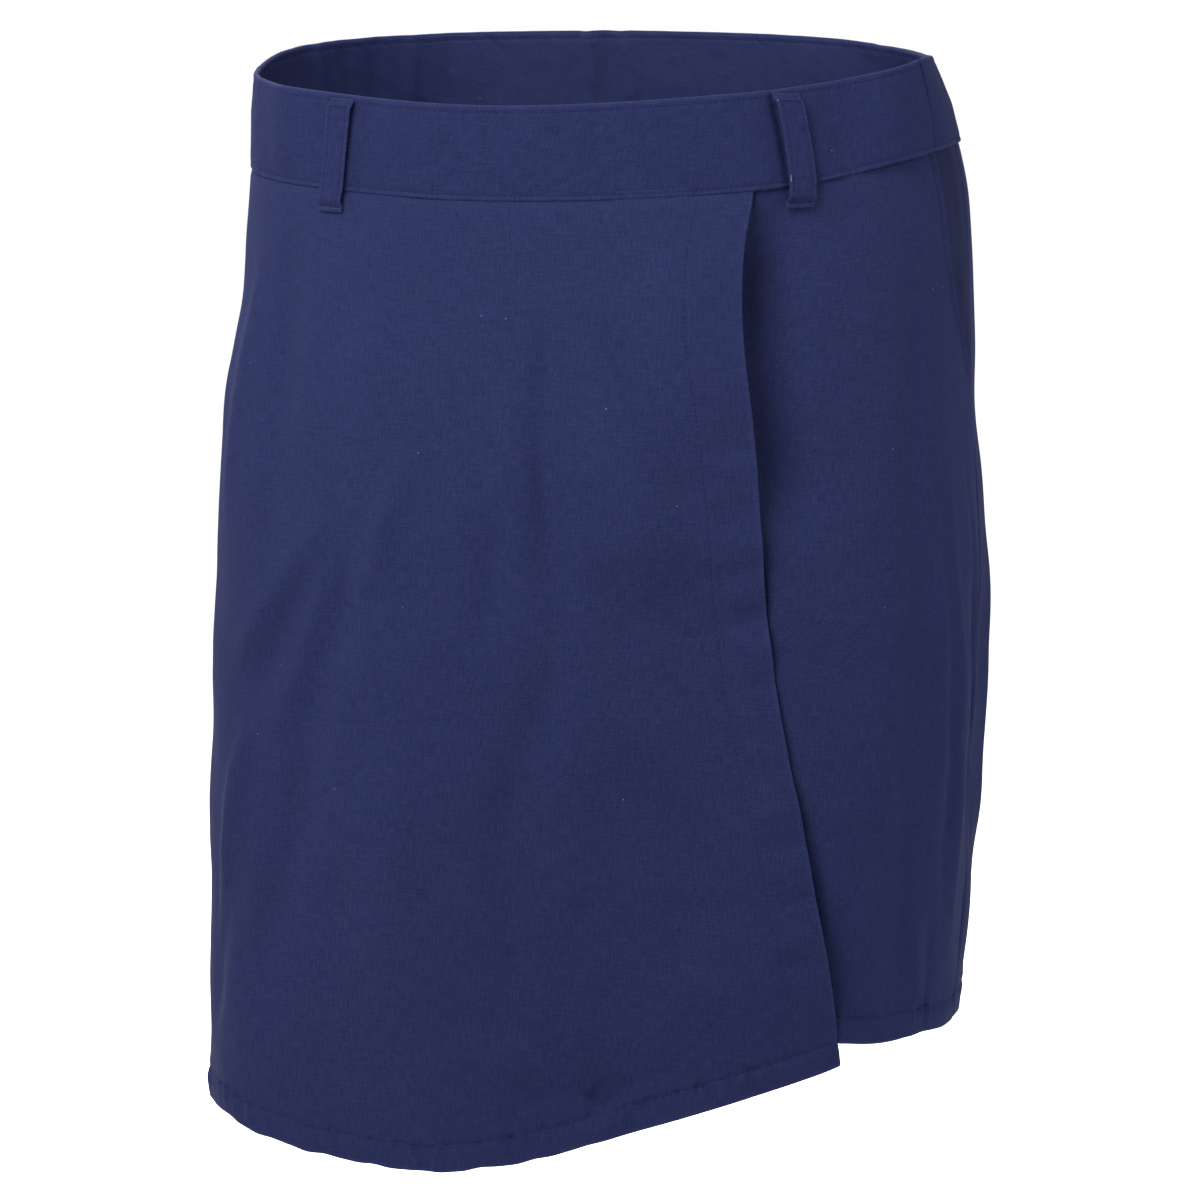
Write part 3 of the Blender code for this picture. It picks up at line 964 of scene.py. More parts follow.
@dataclass
class LegPanel(Panel):
    """A quarter of the shorts, from the centre seam and the inseam to the side seam."""

    side: int = 1  # 1 is the wearer's left
    front: bool = True
    side_seam: tuple[SeamRow, ...] = ()
    mouth: tuple[SeamRow, ...] = ()  # the pocket mouth, where it cuts the panel short
    rims: Rims = Rims(bottom=Rim.FOLDED)
    folds: tuple[Fold, ...] = ()
    covered_to: tuple[SeamRow, ...] = ()  # the apron's edge, where it covers this panel
    seed: int = 10
    spacing: float = 0.0030

    MIDDLE_IN = 0.0006  # how far the middle of the cloth lies in from the body
    FRONT_JOIN = 40.0  # where the inner side of the leg joins the body's ring
    BACK_JOIN = 144.0
    CROTCH = -0.232
    CROTCH_CURVE = 0.100  # how far above the crotch the centre seam starts to turn under
    CROTCH_FADE = 0.070
    CROTCH_POINT_Y = 0.012
    AWAY_OVER = 0.7  # the part of the inner half that turns with the seam
    JOIN_STEP = 3.0
    ROUNDNESS = 1.75
    JOIN = -0.00005  # the inner edges overlap by this much, so no light comes between them
    CROSSING = 0.0003  # and by this much more where the seam turns under
    CROSSING_TO = 0.1
    CROTCH_ROOM = 0.00075  # the legs' inner sides lie face to face, each this far from the middle
    CROTCH_ROOM_FROM = 0.3
    CROTCH_ROOM_OVER = 0.5
    GAP = 0.005  # half of the gap between the legs
    PARTING = 0.025
    CENTRE_REACH = 0.105  # from the middle of the body to the centre seams
    HIP_REACH = 0.170  # and to the side seams

    HEM = -0.412
    HEM_RISE = 0.003  # at the front
    HEM_RISE_TO = 57.0
    HEM_RISE_OVER = 15.0
    HEM_DROP = 0.0022  # at the side seam
    FRONT_DROP_FROM = 66.0
    FRONT_DROP_OVER = 14.0
    BACK_DROP_TO = 116.0
    BACK_DROP_OVER = 24.0
    HEM_DEPTH = 0.0118  # the hem's stitches, from its edge
    HEM_TURN = 0.002
    HEM_TURN_OVER = 0.0015
    HEM_CLOTH = 0.0009
    HEM_GROOVE = Groove(0.0006, 0.0012)
    HEM_SWELL = Groove(-0.0003, 0.0035)
    HEM_SWELL_AT = 0.0062

    FLAT_TOP = 0.002  # the folds fade out toward the top and the centre seam
    FLAT_TOP_OVER = 0.030
    FLAT_CENTRE_OVER = 0.020
    AT_TOP = 0.15
    AT_SIDE = 0.60
    SIDE_OVER = 0.012
    DIP_FROM = -0.120  # the centre seam lies sunk above this height
    DIP_OVER = 0.050
    TOP_DIP = Groove(0.0004, 0.0015)
    HIDDEN_FROM = -1.0  # this far in behind the apron's edge, no fold stands out
    HIDDEN_OVER = 4.0
    UNDER_FROM = -8.0  # and from here, the inner leg's own curve gives the room
    UNDER_OVER = 10.0

    MOUTH_ROW = 0.0055  # stitches beside the pocket mouth, from its edge
    MOUTH_GROOVE = Groove(0.0007, 0.0013)
    MOUTH_EDGE = Groove(-0.0013, 0.0026)
    MOUTH_EDGE_AT = 0.0022
    MOUTH_EDGE_TO = -0.125
    MOUTH_GROOVE_TO = -0.130
    MOUTH_OVER = 0.02

    def join_angle(self) -> float:
        """The angle where the inner side of the leg joins the body's ring."""
        return self.FRONT_JOIN if self.front else self.BACK_JOIN

    def turned(self) -> float:
        """See Panel.turned."""
        return 1.0 if (self.side > 0) == self.front else -1.0

    def turned_under(self, level: Array) -> Array:
        """How far the centre seam has turned under at a height, from 0 to 1."""
        down = np.clip((self.CROTCH + self.CROTCH_CURVE - level) / self.CROTCH_CURVE, 0.0, 1.0)
        return 1.0 - np.sqrt(1.0 - down * down)

    def inner_curve(self, level: Array, part: Array) -> Array:
        """Finds points on the inner side of the leg.

        Args:
            level: Heights.
            part: 0 at the inseam, 1 where it meets the body's ring.

        Returns:
            The points.
        """
        face = -1.0 if self.front else 1.0
        angle = np.full(np.shape(level), self.side * self.join_angle())
        join = self.form.point(angle, level, -self.MIDDLE_IN)
        beyond = self.form.point(angle - self.side * face * self.JOIN_STEP, level, -self.MIDDLE_IN)
        turned = self.turned_under(level)
        room = self.CROTCH_ROOM * ease((turned - self.CROTCH_ROOM_FROM) / self.CROTCH_ROOM_OVER)
        apart = room - self.CROSSING * ease(turned / self.CROSSING_TO)
        apart = apart + self.JOIN + self.GAP * ease((self.CROTCH - level) / self.PARTING)
        back_of = np.full(np.shape(level), self.CROTCH_POINT_Y + face * self.JOIN)
        start = np.stack((self.side * apart, back_of, level), -1)
        depth = np.abs(join[..., 1] - start[..., 1]) * self.ROUNDNESS * face
        leave = np.stack((np.zeros_like(depth), depth, np.zeros_like(depth)), -1)
        reach = np.abs(join[..., 0] - start[..., 0]) * self.ROUNDNESS
        arrive = unit(beyond - join) * reach[..., None]
        part = np.asarray(part)[..., None]
        square, cube = part ** 2, part ** 3
        return ((2.0 * cube - 3.0 * square + 1.0) * start + (cube - 2.0 * square + part) * leave
                + (3.0 * square - 2.0 * cube) * join + (cube - square) * arrive)

    def lay(self, across: Array, down: Array) -> Lay:
        """Lays the panel on the hip, the seat and round the thigh. See Panel.lay."""
        face = -1.0 if self.front else 1.0
        level = mix(self.form.panel_top + TUCKED, self.HEM, down)
        column = 2.0 * np.asarray(across)
        start = (0.0 if self.front else 180.0) - face * np.degrees(self.JOIN / self.CENTRE_REACH)
        edge = np.abs(along(self.side_seam, "angle", level))
        if self.mouth:
            edge = np.minimum(edge, along(self.mouth, "angle", level))
        edge = edge + face * np.degrees(SEAM / 2.0 / self.HIP_REACH)
        join = self.join_angle()
        turn = np.where(column < 1.0, mix(start, join, column), mix(join, edge, column - 1.0))
        angle = self.side * turn
        z = self.form.below_band(angle, level)
        point = self.form.point(angle, z, -self.MIDDLE_IN)

        fallen = self.CROTCH + self.CROTCH_CURVE - level
        away = ease(fallen / (self.CROTCH_CURVE + self.CROTCH_FADE))
        turned = mix(self.turned_under(level), away, ease(column / self.AWAY_OVER)) * (column < 1.0)
        inner = self.inner_curve(np.broadcast_to(level, column.shape), np.clip(column, 0.0, 1.0))
        point = mix(point, inner, turned[..., None])
        if self.front:
            raised = self.HEM_RISE * ease((self.CROTCH - level) / (self.CROTCH - self.HEM))
            raised = raised * ease((self.HEM_RISE_TO - turn) / self.HEM_RISE_OVER)
            point[..., 2] += raised
            at_side = ease((turn - self.FRONT_DROP_FROM) / self.FRONT_DROP_OVER)
        else:
            at_side = ease((self.BACK_DROP_TO - turn) / self.BACK_DROP_OVER)
        point[..., 2] -= self.HEM_DROP * at_side * down
        return Lay(angle, z, point)

    def relief(self, lay: Lay, margins: Margins) -> Array:
        """Folds, seams and the hem's stitching. See Panel.relief."""
        x, y, seed = margins.right, margins.top, self.seed
        rise = Unevenness(height=0.00055, size=0.075, seed=seed).relief(x, y)
        rise += Unevenness(height=0.00008, size=0.028, seed=seed + 1).relief(x, y)
        rise += fold_relief(self.folds, self.form, lay)
        rise *= self.fullness(lay, margins)
        off = margins.bottom - self.HEM_DEPTH
        rise += self.HEM_GROOVE.relief(off) + self.HEM_SWELL.relief(margins.bottom - self.HEM_SWELL_AT)
        rise += Pucker(height=0.00050, reach=0.0065, spacing=0.0060, seed=seed + 2).relief(off, x)
        if self.covered_to:
            rise = self.under_apron(rise, lay)
        if self.mouth:
            edge = self.MOUTH_EDGE.relief(x - self.MOUTH_EDGE_AT)
            rise += edge * ease((lay.z - self.MOUTH_EDGE_TO) / self.MOUTH_OVER)
            row = self.MOUTH_GROOVE.relief(x - self.MOUTH_ROW)
            rise += row * ease((lay.z - self.MOUTH_GROOVE_TO) / self.MOUTH_OVER)
        rise += SEAM_DIP.relief(margins.left) * ease((lay.z - self.DIP_FROM) / self.DIP_OVER)
        return rise + SEAM_DIP.relief(x) + self.TOP_DIP.relief(y - TUCKED)

    def fullness(self, lay: Lay, margins: Margins) -> Array:
        """How full the folds are, from 0 to 1. They fade out toward the top and the seams.

        Args:
            lay: Where the smooth cloth lies.
            margins: Distances to the panel's edges.

        Returns:
            The fullness.
        """
        least = self.AT_TOP * ease((lay.z - self.DIP_FROM) / self.DIP_OVER)
        calm = ease((margins.top - self.FLAT_TOP) / self.FLAT_TOP_OVER)
        calm = calm * ease(margins.left / self.FLAT_CENTRE_OVER)
        beside_seam = mix(self.AT_SIDE, 1.0, ease(margins.right / self.SIDE_OVER))
        return least + calm * (1.0 - least) * beside_seam

    def under_apron(self, rise: Array, lay: Lay) -> Array:
        """Draws a front panel in, where the apron lies over it and beside the apron's edge.

        Args:
            rise: How far its folds raise the cloth.
            lay: Where the smooth cloth lies.

        Returns:
            How far the cloth is raised.
        """
        past_edge = lay.angle - along(self.covered_to, "angle", lay.z)
        hidden = ease((self.HIDDEN_FROM - past_edge) / self.HIDDEN_OVER)
        room = self.form.room_under(past_edge, lay.z)
        body = self.form.point(lay.angle, lay.z, -self.MIDDLE_IN)
        clear = np.minimum(room, np.linalg.norm(lay.point - body, axis=-1))
        clear = clear * ease((self.UNDER_FROM - past_edge) / self.UNDER_OVER)
        return mix(rise, np.minimum(rise, 0.0), hidden) - room + clear

    def layers(self, margins: Margins) -> tuple[Array, Array]:
        """The hem is turned up inside. See Panel.layers."""
        half = np.full(margins.left.shape, self.cloth / 2.0)
        turned = ease((self.HEM_DEPTH + self.HEM_TURN - margins.bottom) / self.HEM_TURN_OVER)
        return half, half + self.HEM_CLOTH * turned

    def grid(self) -> tuple[Array, Array]:
        """Close rows at the hem, and close columns at the seams. See Panel.grid."""
        inner, side = Zone(0.003, 0.0010), Zone(0.005, 0.0010)
        top, hem = Zone(0.003, 0.0012), Zone(0.013, 0.0010)
        columns = graded(float(self.widths.max()), self.spacing, inner, side)
        return columns, graded(float(self.lengths.mean()), self.spacing, top, hem)


@dataclass
class PocketFacing(Panel):
    """The piece that shows inside the pocket mouth and runs in under the front panel."""

    slot: Slot = Slot.POCKET
    hung_from: Band = Band.BACK
    mouth: tuple[SeamRow, ...] = ()
    side_seam: tuple[SeamRow, ...] = ()

    UNDERLAP = 14.0  # how far it runs in under the front panel, in degrees
    UNDER = 0.0023  # how far it lies in behind the front panel
    MIDDLE_IN = 0.0006
    BOTTOM = -0.130
    MOUTH_END = 88.0
    PAST_MOUTH = 1.0  # it comes out toward the side seam from this far past the mouth
    HIP_REACH = 0.170
    SEAM_ROOM = 3.0  # the gap at the side seam, in half seam widths
    CALM_OVER = 0.01
    RIDGE = Groove(-0.0004, 0.004)
    RIDGE_AT = 0.012
    SPACING = 0.0022
    LENGTH = 0.120  # about how long it is, for the spacing of its rows

    def lay(self, across: Array, down: Array) -> Lay:
        """Lays the facing from under the front out to the side seam. See Panel.lay."""
        level = mix(self.form.panel_top + TUCKED, self.BOTTOM, down)
        mouth = np.minimum(along(self.mouth, "angle", level), self.MOUTH_END)
        gap = np.degrees(self.SEAM_ROOM * SEAM / 2.0 / self.HIP_REACH)
        seam = along(self.side_seam, "angle", level) - gap
        angle = mix(mouth - self.UNDERLAP, seam, across)
        z = self.form.below_band(angle, level)
        begin = mouth + self.PAST_MOUTH
        to_seam = ease((angle - begin) / np.maximum(seam - begin, 1.0))
        out = -self.MIDDLE_IN - self.UNDER * (1.0 - to_seam)
        return Lay(angle, z, self.form.point(angle, z, out))

    def relief(self, lay: Lay, margins: Margins) -> Array:
        """A soft ridge beside the side seam. See Panel.relief."""
        rise = Unevenness(height=0.00015, size=0.03, seed=71).relief(margins.left, margins.top)
        rise = rise * ease(margins.right / self.CALM_OVER)
        return rise + self.RIDGE.relief(margins.right - self.RIDGE_AT) + SEAM_DIP.relief(margins.right)

    def grid(self) -> tuple[Array, Array]:
        """Even spacing. See Panel.grid."""
        ends = Zone(0.003, 0.0010)
        columns = graded(float(self.widths.max()), self.SPACING, ends, ends)
        return columns, graded(self.LENGTH, self.SPACING, ends, ends)


@dataclass
class Apron(Panel):
    """The panel over the front, from the right side seam to its free edge."""

    rims: Rims = Rims(right=Rim.FOLDED, bottom=Rim.FOLDED, left=Rim.FOLDED)
    side_seam: tuple[SeamRow, ...] = ()
    free_edge: tuple[SeamRow, ...] = ()
    folds: tuple[Fold, ...] = ()
    seed: int = 60
    hem_line: tuple[HemRow, ...] = (
        HemRow(-80.0, 0.0005),
        HemRow(-60.0, 0.0002),
        HemRow(-40.0, -0.0082),
        HemRow(-21.0, -0.0114),
        HemRow(-5.0, -0.0045),
        HemRow(12.5, 0.0100),
        HemRow(30.0, 0.0256),
        HemRow(48.0, 0.0386),
    )
    stand_offs: tuple[StandOffRow, ...] = (
        StandOffRow(-0.020, 0.0003, 0.0003, 0.0003),
        StandOffRow(-0.060, 0.0008, 0.0016, 0.0070),
        StandOffRow(-0.120, 0.0008, 0.0026, 0.0112),
        StandOffRow(-0.176, 0.0010, 0.0032, 0.0106),
        StandOffRow(-0.202, 0.0013, 0.0035, 0.0050),
        StandOffRow(-0.226, 0.0018, 0.0038, 0.0028),
        StandOffRow(-0.255, 0.0024, 0.0041, 0.0021),
        StandOffRow(-0.320, 0.0066, 0.0048, 0.0022),
        StandOffRow(-0.358, 0.0092, 0.0048, 0.0024),
        StandOffRow(-0.388, 0.0110, 0.0047, 0.0034),
        StandOffRow(-0.420, 0.0131, 0.0045, 0.0034),
        StandOffRow(-0.480, 0.0170, 0.0042, 0.0040),
    )

    HEM = -0.458
    HEM_FADE = 0.150  # how far above the hem the rows start to slant with it
    HEM_DEPTH = 0.0120  # the hem's stitches, from its edge
    HEM_GROOVE = Groove(0.0006, 0.0012)
    HEM_SWELL = Groove(-0.0005, 0.0040)
    HEM_SWELL_AT = 0.0060
    HEM_PUCKERS_ABOVE = 0.0030
    HEM_WAVE = Unevenness(height=0.00036, size=0.022, seed=7)
    WAVE_TO = 24.0
    WAVE_FADE = 40.0
    DRAWN_LESS = 0.6  # the hem is puckered less far from the free edge
    DRAWN_LESS_FROM = 0.120
    DRAWN_LESS_OVER = 0.120
    DRAWN_FROM_EDGE = 0.050  # and less where the thick facing crosses it
    DRAWN_FROM_CORNER = 0.040
    CURL = 0.0060  # the hem turns in by this much
    CURL_OVER = 0.085
    CURL_FROM = -60.0
    CURL_FADE = 45.0
    SIDE_FROM = -15.0
    SIDE_OVER = 60.0
    EDGE_FROM = -5.0
    EDGE_OVER = 35.0
    FACING = 0.0218  # the turned facing's stitches, from the free edge
    FACING_GROOVE = Groove(0.00016, 0.0011)
    FACING_PUCKERS_IN = 0.008
    TURNED_OVER = 0.0015
    TURNED_CLOTH = 0.0008
    TURNED_FROM_TOP = 0.03
    FLAT_TOP = 0.002  # the folds fade out toward the top
    FLAT_TOP_OVER = 0.035
    AT_TOP = 0.10
    LEAST_ROOM = 0.0004  # between the apron and the shorts
    TOP_DIP = Groove(0.0012, 0.0022)
    SIDE_DIP = Groove(0.0006, 0.0016)
    SEWN_TO = -0.26  # the side is sewn above this height, and hangs free below it
    SEWN_FADE = 0.03
    COLUMN_SPACING = 0.0022
    ROW_SPACING = 0.0024
    SETTLING = 3  # rounds in which the rows find their heights

    def stand_off(self, angle: Array, z: Array) -> Array:
        """How far the apron's back stands off the body, at angles and heights.

        Args:
            angle: Angles round the body.
            z: Heights.

        Returns:
            The distances.
        """
        side, middle = along(self.stand_offs, "side", z), along(self.stand_offs, "middle", z)
        edge = along(self.stand_offs, "edge", z)
        toward_side = ease((self.SIDE_FROM - angle) / self.SIDE_OVER)
        toward_edge = ease((angle - self.EDGE_FROM) / self.EDGE_OVER)
        return middle + (side - middle) * toward_side + (edge - middle) * toward_edge

    def face_out(self, angle: Array, z: Array) -> Array:
        """How far the outermost cloth stands off the body: the apron, or the panel beside it."""
        on_apron = angle < along(self.free_edge, "angle", z)
        return np.where(on_apron, self.stand_off(angle, z) + self.cloth, 0.0)

    def lay(self, across: Array, down: Array) -> Lay:
        """Lays the apron over the shorts' fronts. See Panel.lay."""
        level = mix(self.form.panel_top + TUCKED, self.HEM, down)
        level = np.broadcast_to(level, np.broadcast(across, down).shape)
        z = level
        for _ in range(self.SETTLING):
            side = along(self.side_seam, "angle", z)
            angle = mix(side, along(self.free_edge, "angle", z), across)
            toward_hem = ease((self.HEM + self.HEM_FADE - level) / self.HEM_FADE)
            wave = self.HEM_WAVE.relief(self.form.way_round(angle), level)
            wave = wave * ease((self.WAVE_TO - angle) / self.WAVE_FADE)
            rise = along(self.hem_line, "rise", angle) + wave
            z = self.form.below_band(angle, level) + rise * toward_hem
        out = self.stand_off(angle, z) + self.cloth / 2.0
        return Lay(angle, z, self.form.point(angle, z, out))

    def relief(self, lay: Lay, margins: Margins) -> Array:
        """Folds, the turned facing, the hem and their stitching. See Panel.relief."""
        x, y, seed = margins.right, margins.top, self.seed
        rise = Unevenness(height=0.00050, size=0.085, seed=seed).relief(x, y)
        rise += Unevenness(height=0.00007, size=0.028, seed=seed + 1).relief(x, y)
        rise += fold_relief(self.folds, self.form, lay)
        rise *= mix(self.AT_TOP, 1.0, ease((y - self.FLAT_TOP) / self.FLAT_TOP_OVER))
        past_edge = lay.angle - along(self.free_edge, "angle", lay.z)
        room = self.stand_off(lay.angle, lay.z) + self.form.room_under(past_edge, lay.z)
        rise = np.maximum(rise, self.LEAST_ROOM - room)
        rise += self.hem_relief(lay, margins)
        facing_off = x - self.FACING
        rise += self.FACING_GROOVE.relief(facing_off)
        drawn = Pucker(height=0.00015, reach=0.0110, spacing=0.0120, seed=seed + 3)
        rise += drawn.relief(facing_off + self.FACING_PUCKERS_IN, y)
        sewn = ease((lay.z - self.SEWN_TO) / self.SEWN_FADE)
        return rise + self.TOP_DIP.relief(y - TUCKED) + self.SIDE_DIP.relief(margins.left) * sewn

    def hem_relief(self, lay: Lay, margins: Margins) -> Array:
        """The hem: its stitches, the puckers they draw, its swell, and how it turns in at the front.

        Args:
            lay: Where the smooth cloth lies.
            margins: Distances to the panel's edges.

        Returns:
            How far the cloth is raised.
        """
        x, off = margins.right, margins.bottom - self.HEM_DEPTH
        drawn = mix(1.0, self.DRAWN_LESS, ease((x - self.DRAWN_LESS_FROM) / self.DRAWN_LESS_OVER))
        drawn = drawn * ease(x / self.DRAWN_FROM_EDGE) * ease(x / self.DRAWN_FROM_CORNER)
        broad = Pucker(height=0.00115, reach=0.0060, spacing=0.0055, seed=self.seed + 2)
        fine = Pucker(height=0.00045, reach=0.0022, spacing=0.0034, seed=self.seed + 5)
        rise = (broad.relief(off + self.HEM_PUCKERS_ABOVE, x) + fine.relief(off, x)) * drawn
        rise += self.HEM_GROOVE.relief(off) + self.HEM_SWELL.relief(margins.bottom - self.HEM_SWELL_AT)
        at_front = ease((lay.angle - self.CURL_FROM) / self.CURL_FADE)
        return rise - self.CURL * at_front * ease((self.CURL_OVER - margins.bottom) / self.CURL_OVER) ** 2

    def layers(self, margins: Margins) -> tuple[Array, Array]:
        """The facing and the hem are turned to the inside. See Panel.layers."""
        half = np.full(margins.left.shape, self.cloth / 2.0)
        facing = ease((self.FACING + self.TURNED_OVER - margins.right) / self.TURNED_OVER)
        hem = ease((self.HEM_DEPTH + self.TURNED_OVER - margins.bottom) / self.TURNED_OVER)
        below_band = ease(margins.top / self.TURNED_FROM_TOP)
        return half, half + self.TURNED_CLOTH * below_band * np.maximum(facing, hem)

    def grid(self) -> tuple[Array, Array]:
        """Close columns at the facing, and close rows at the hem. See Panel.grid."""
        side, facing = Zone(0.004, 0.0012), Zone(0.024, 0.0012)
        top, hem = Zone(0.003, 0.0012), Zone(0.014, 0.0009)
        columns = graded(float(self.widths.max()), self.COLUMN_SPACING, side, facing)
        return columns, graded(float(self.lengths.mean()), self.ROW_SPACING, top, hem)


@dataclass
class Stitching:
    """Rows of stitches, joined in one mesh. Each stitch is a short thread, sunk at both ends."""

    name: str
    finish: Finish
    slot: Slot = Slot.PANELS
    pitch: float = 0.0026
    length: float = 0.0021
    radius: float = 0.00017
    spots: list[tuple[Array, Array, Array]] = field(default_factory=list)

    SIDES = 6
    CLOSE = 2.1  # the spacing of a bar tack's stitches, in thread radii
    RINGS = ((-0.50, 0.40, -0.9), (-0.30, 1.0, 0.25), (0.30, 1.0, 0.25), (0.50, 0.40, -0.9))

    def row(self, panel: Panel, across: Array, down: Array, face: Face = Face.OUTSIDE) -> None:
        """Sews a row of stitches along a line on a panel.

        Args:
            panel: The panel.
            across: Places across it, close together along the line.
            down: Places down it.
            face: The side of the cloth that the row shows on.
        """
        points, outward = panel.surface(np.asarray(across, float), np.asarray(down, float), face)
        run = np.concatenate(([0.0], np.cumsum(np.linalg.norm(np.diff(points, axis=0), axis=1))))
        centres = np.arange(self.pitch / 2.0, run[-1] - self.pitch / 3.0, self.pitch)

        def at(places: Array, values: Array) -> Array:
            """Reads values at places along the row."""
            return np.stack([np.interp(places, run, values[:, axis]) for axis in range(3)], -1)

        ahead = at(centres + self.length / 2.0, points) - at(centres - self.length / 2.0, points)
        self.spots.append((at(centres, points), unit(ahead), unit(at(centres, outward))))

    def bar_tack(self, panel: Panel, down: float, height: float, first: float, last: float) -> None:
        """Sews a bar tack: close upright stitches side by side, across a panel.

        Args:
            panel: The panel.
            down: How far down the panel it lies.
            height: Its height, in metres.
            first: Where it starts across the panel.
            last: Where it ends.
        """
        wide = float(panel.widths.mean()) * (last - first)
        across = np.linspace(first, last, max(2, round(wide / (self.radius * self.CLOSE))))
        part = height / 2.0 / float(panel.lengths.mean())
        high = panel.surface(across, np.full(across.shape, down - part), Face.OUTSIDE)[0]
        low = panel.surface(across, np.full(across.shape, down + part), Face.OUTSIDE)[0]
        centre, outward = panel.surface(across, np.full(across.shape, down), Face.OUTSIDE)
        stretch = np.linalg.norm(low - high, axis=1).mean() / self.length
        self.spots.append((centre, unit(low - high) * stretch, outward))

    def build(self) -> bpy.types.Object:
        """Makes the piece from all its rows.

        Returns:
            The finished piece.
        """
        centre, ahead, outward = (np.concatenate(parts) for parts in zip(*self.spots))
        over = unit(np.cross(outward, ahead))
        points = []
        for place, thickness, lift in self.RINGS:
            spine = centre + ahead * self.length * place + outward * self.radius * lift
            for turn in 2.0 * pi * np.arange(self.SIDES) / self.SIDES:
                away = outward * np.sin(turn) + over * np.cos(turn)
                points.append(spine + self.radius * thickness * away)
        each = len(points)
        points = np.stack(points, 1).reshape(-1, 3)
        faces = []
        for ring in range(len(self.RINGS) - 1):
            for side in range(self.SIDES):
                corner, following = ring * self.SIDES + side, ring * self.SIDES + (side + 1) % self.SIDES
                faces.append((corner, following, following + self.SIDES, corner + self.SIDES))
        last = each - self.SIDES
        for a, b, c, d in ((0, 3, 2, 1), (0, 5, 4, 3)):
            faces.append((a, b, c, d))
            faces.append((last + d, last + c, last + b, last + a))
        quads = (np.arange(len(centre))[:, None, None] * each + np.array(faces)).reshape(-1, 4)
        mesh = bpy.data.meshes.new(self.name)
        mesh.from_pydata(points.tolist(), [], quads.tolist())
        mesh.shade_smooth()
        LOG.info("%s: %d stitches", self.name, len(centre))
        return add_piece(self.name, mesh, self.finish)


class Finish(ABC):
    """A finish that can be put on a piece."""

    name: str

    def material(self) -> bpy.types.Material:
        """The finish's material, made once and then shared.

        Returns:
            The material.
        """
        found = bpy.data.materials.get(self.name)
        if found:
            return found
        material = bpy.data.materials.new(self.name)
        material.use_nodes = True
        self.dress(NodeBoard(material.node_tree), material.node_tree.nodes["Principled BSDF"])
        return material

    @abstractmethod
    def dress(self, board: NodeBoard, shader: bpy.types.Node) -> None:
        """Gives a new material its nodes.

        Args:
            board: The material's nodes.
            shader: Its shader.
        """


@dataclass
class NodeBoard:
    """A material's node tree, and short ways to add to it."""

    tree: bpy.types.NodeTree

    NOISE_ROUGH = 0.55
    FIRST_COLOUR = 6  # a colour Mix node's inputs, by number
    SECOND_COLOUR = 7

    def add(self, kind: str, **settings: object) -> bpy.types.Node:
        """Adds a node of a kind, with its settings.

        Args:
            kind: The type of node.
            settings: Its properties and their values.

        Returns:
            The node.
        """
        node = self.tree.nodes.new(kind)
        for name, value in settings.items():
            setattr(node, name, value)
        return node

    def feed(self, socket: bpy.types.NodeSocket, value: object) -> None:
        """Links a socket's output to an input, or sets the input to a number or vector.

        Args:
            socket: The input.
            value: The output to link, or the number or vector.
        """
        if isinstance(value, bpy.types.NodeSocket):
            self.tree.links.new(value, socket)
        else:
            socket.default_value = value

    def math(self, operation: str, *values: object, clamp: bool = False) -> bpy.types.NodeSocket:
        """Adds a Math node.

        Args:
            operation: Its operation.
            values: Sockets or numbers.
            clamp: Whether the result stays between 0 and 1.

        Returns:
            Its result.
        """
        node = self.add("ShaderNodeMath", operation=operation, use_clamp=clamp)
        for socket, value in zip(node.inputs, values):
            self.feed(socket, value)
        return node.outputs[0]

    def noise(self, vector: object, scale: float, detail: float, stretch: Colour = (1.0, 1.0, 1.0)
              ) -> bpy.types.NodeSocket:
        """Adds a noise pattern.

        Args:
            vector: Where it is read.
            scale: Its scale, in cells a metre.
            detail: Its number of finer octaves.
            stretch: How much closer its cells lie along each axis.

        Returns:
            A value of about 0.5.
        """
        mapping = self.add("ShaderNodeMapping", vector_type="POINT")
        self.feed(mapping.inputs["Vector"], vector)
        mapping.inputs["Scale"].default_value = stretch
        node = self.add("ShaderNodeTexNoise", noise_dimensions="3D")
        self.feed(node.inputs["Vector"], mapping.outputs[0])
        node.inputs["Scale"].default_value = scale
        node.inputs["Detail"].default_value = detail
        node.inputs["Roughness"].default_value = self.NOISE_ROUGH
        return node.outputs["Fac"]

    def blend(self, amount: object, first: object, second: object) -> bpy.types.NodeSocket:
        """Adds a colour Mix node from the first colour to the second.

        Args:
            amount: The part of the second colour, from 0 to 1.
            first: The first colour.
            second: The second colour.

        Returns:
            The mixed colour.
        """
        node = self.add("ShaderNodeMix", data_type="RGBA", blend_type="MIX")
        self.feed(node.inputs[0], amount)
        for number, value in ((self.FIRST_COLOUR, first), (self.SECOND_COLOUR, second)):
            self.feed(node.inputs[number], (*value, 1.0) if isinstance(value, tuple) else value)
        return node.outputs[2]

    def bump(self, shader: bpy.types.Node, height: bpy.types.NodeSocket, strength: float,
             distance: float) -> None:
        """Adds a Bump node to a shader.

        Args:
            shader: The shader.
            height: The heights.
            strength: The bump's strength.
            distance: Its height in metres.
        """
        node = self.add("ShaderNodeBump")
        node.inputs["Strength"].default_value = strength
        node.inputs["Distance"].default_value = distance
        self.feed(node.inputs["Height"], height)
        self.feed(shader.inputs["Normal"], node.outputs["Normal"])


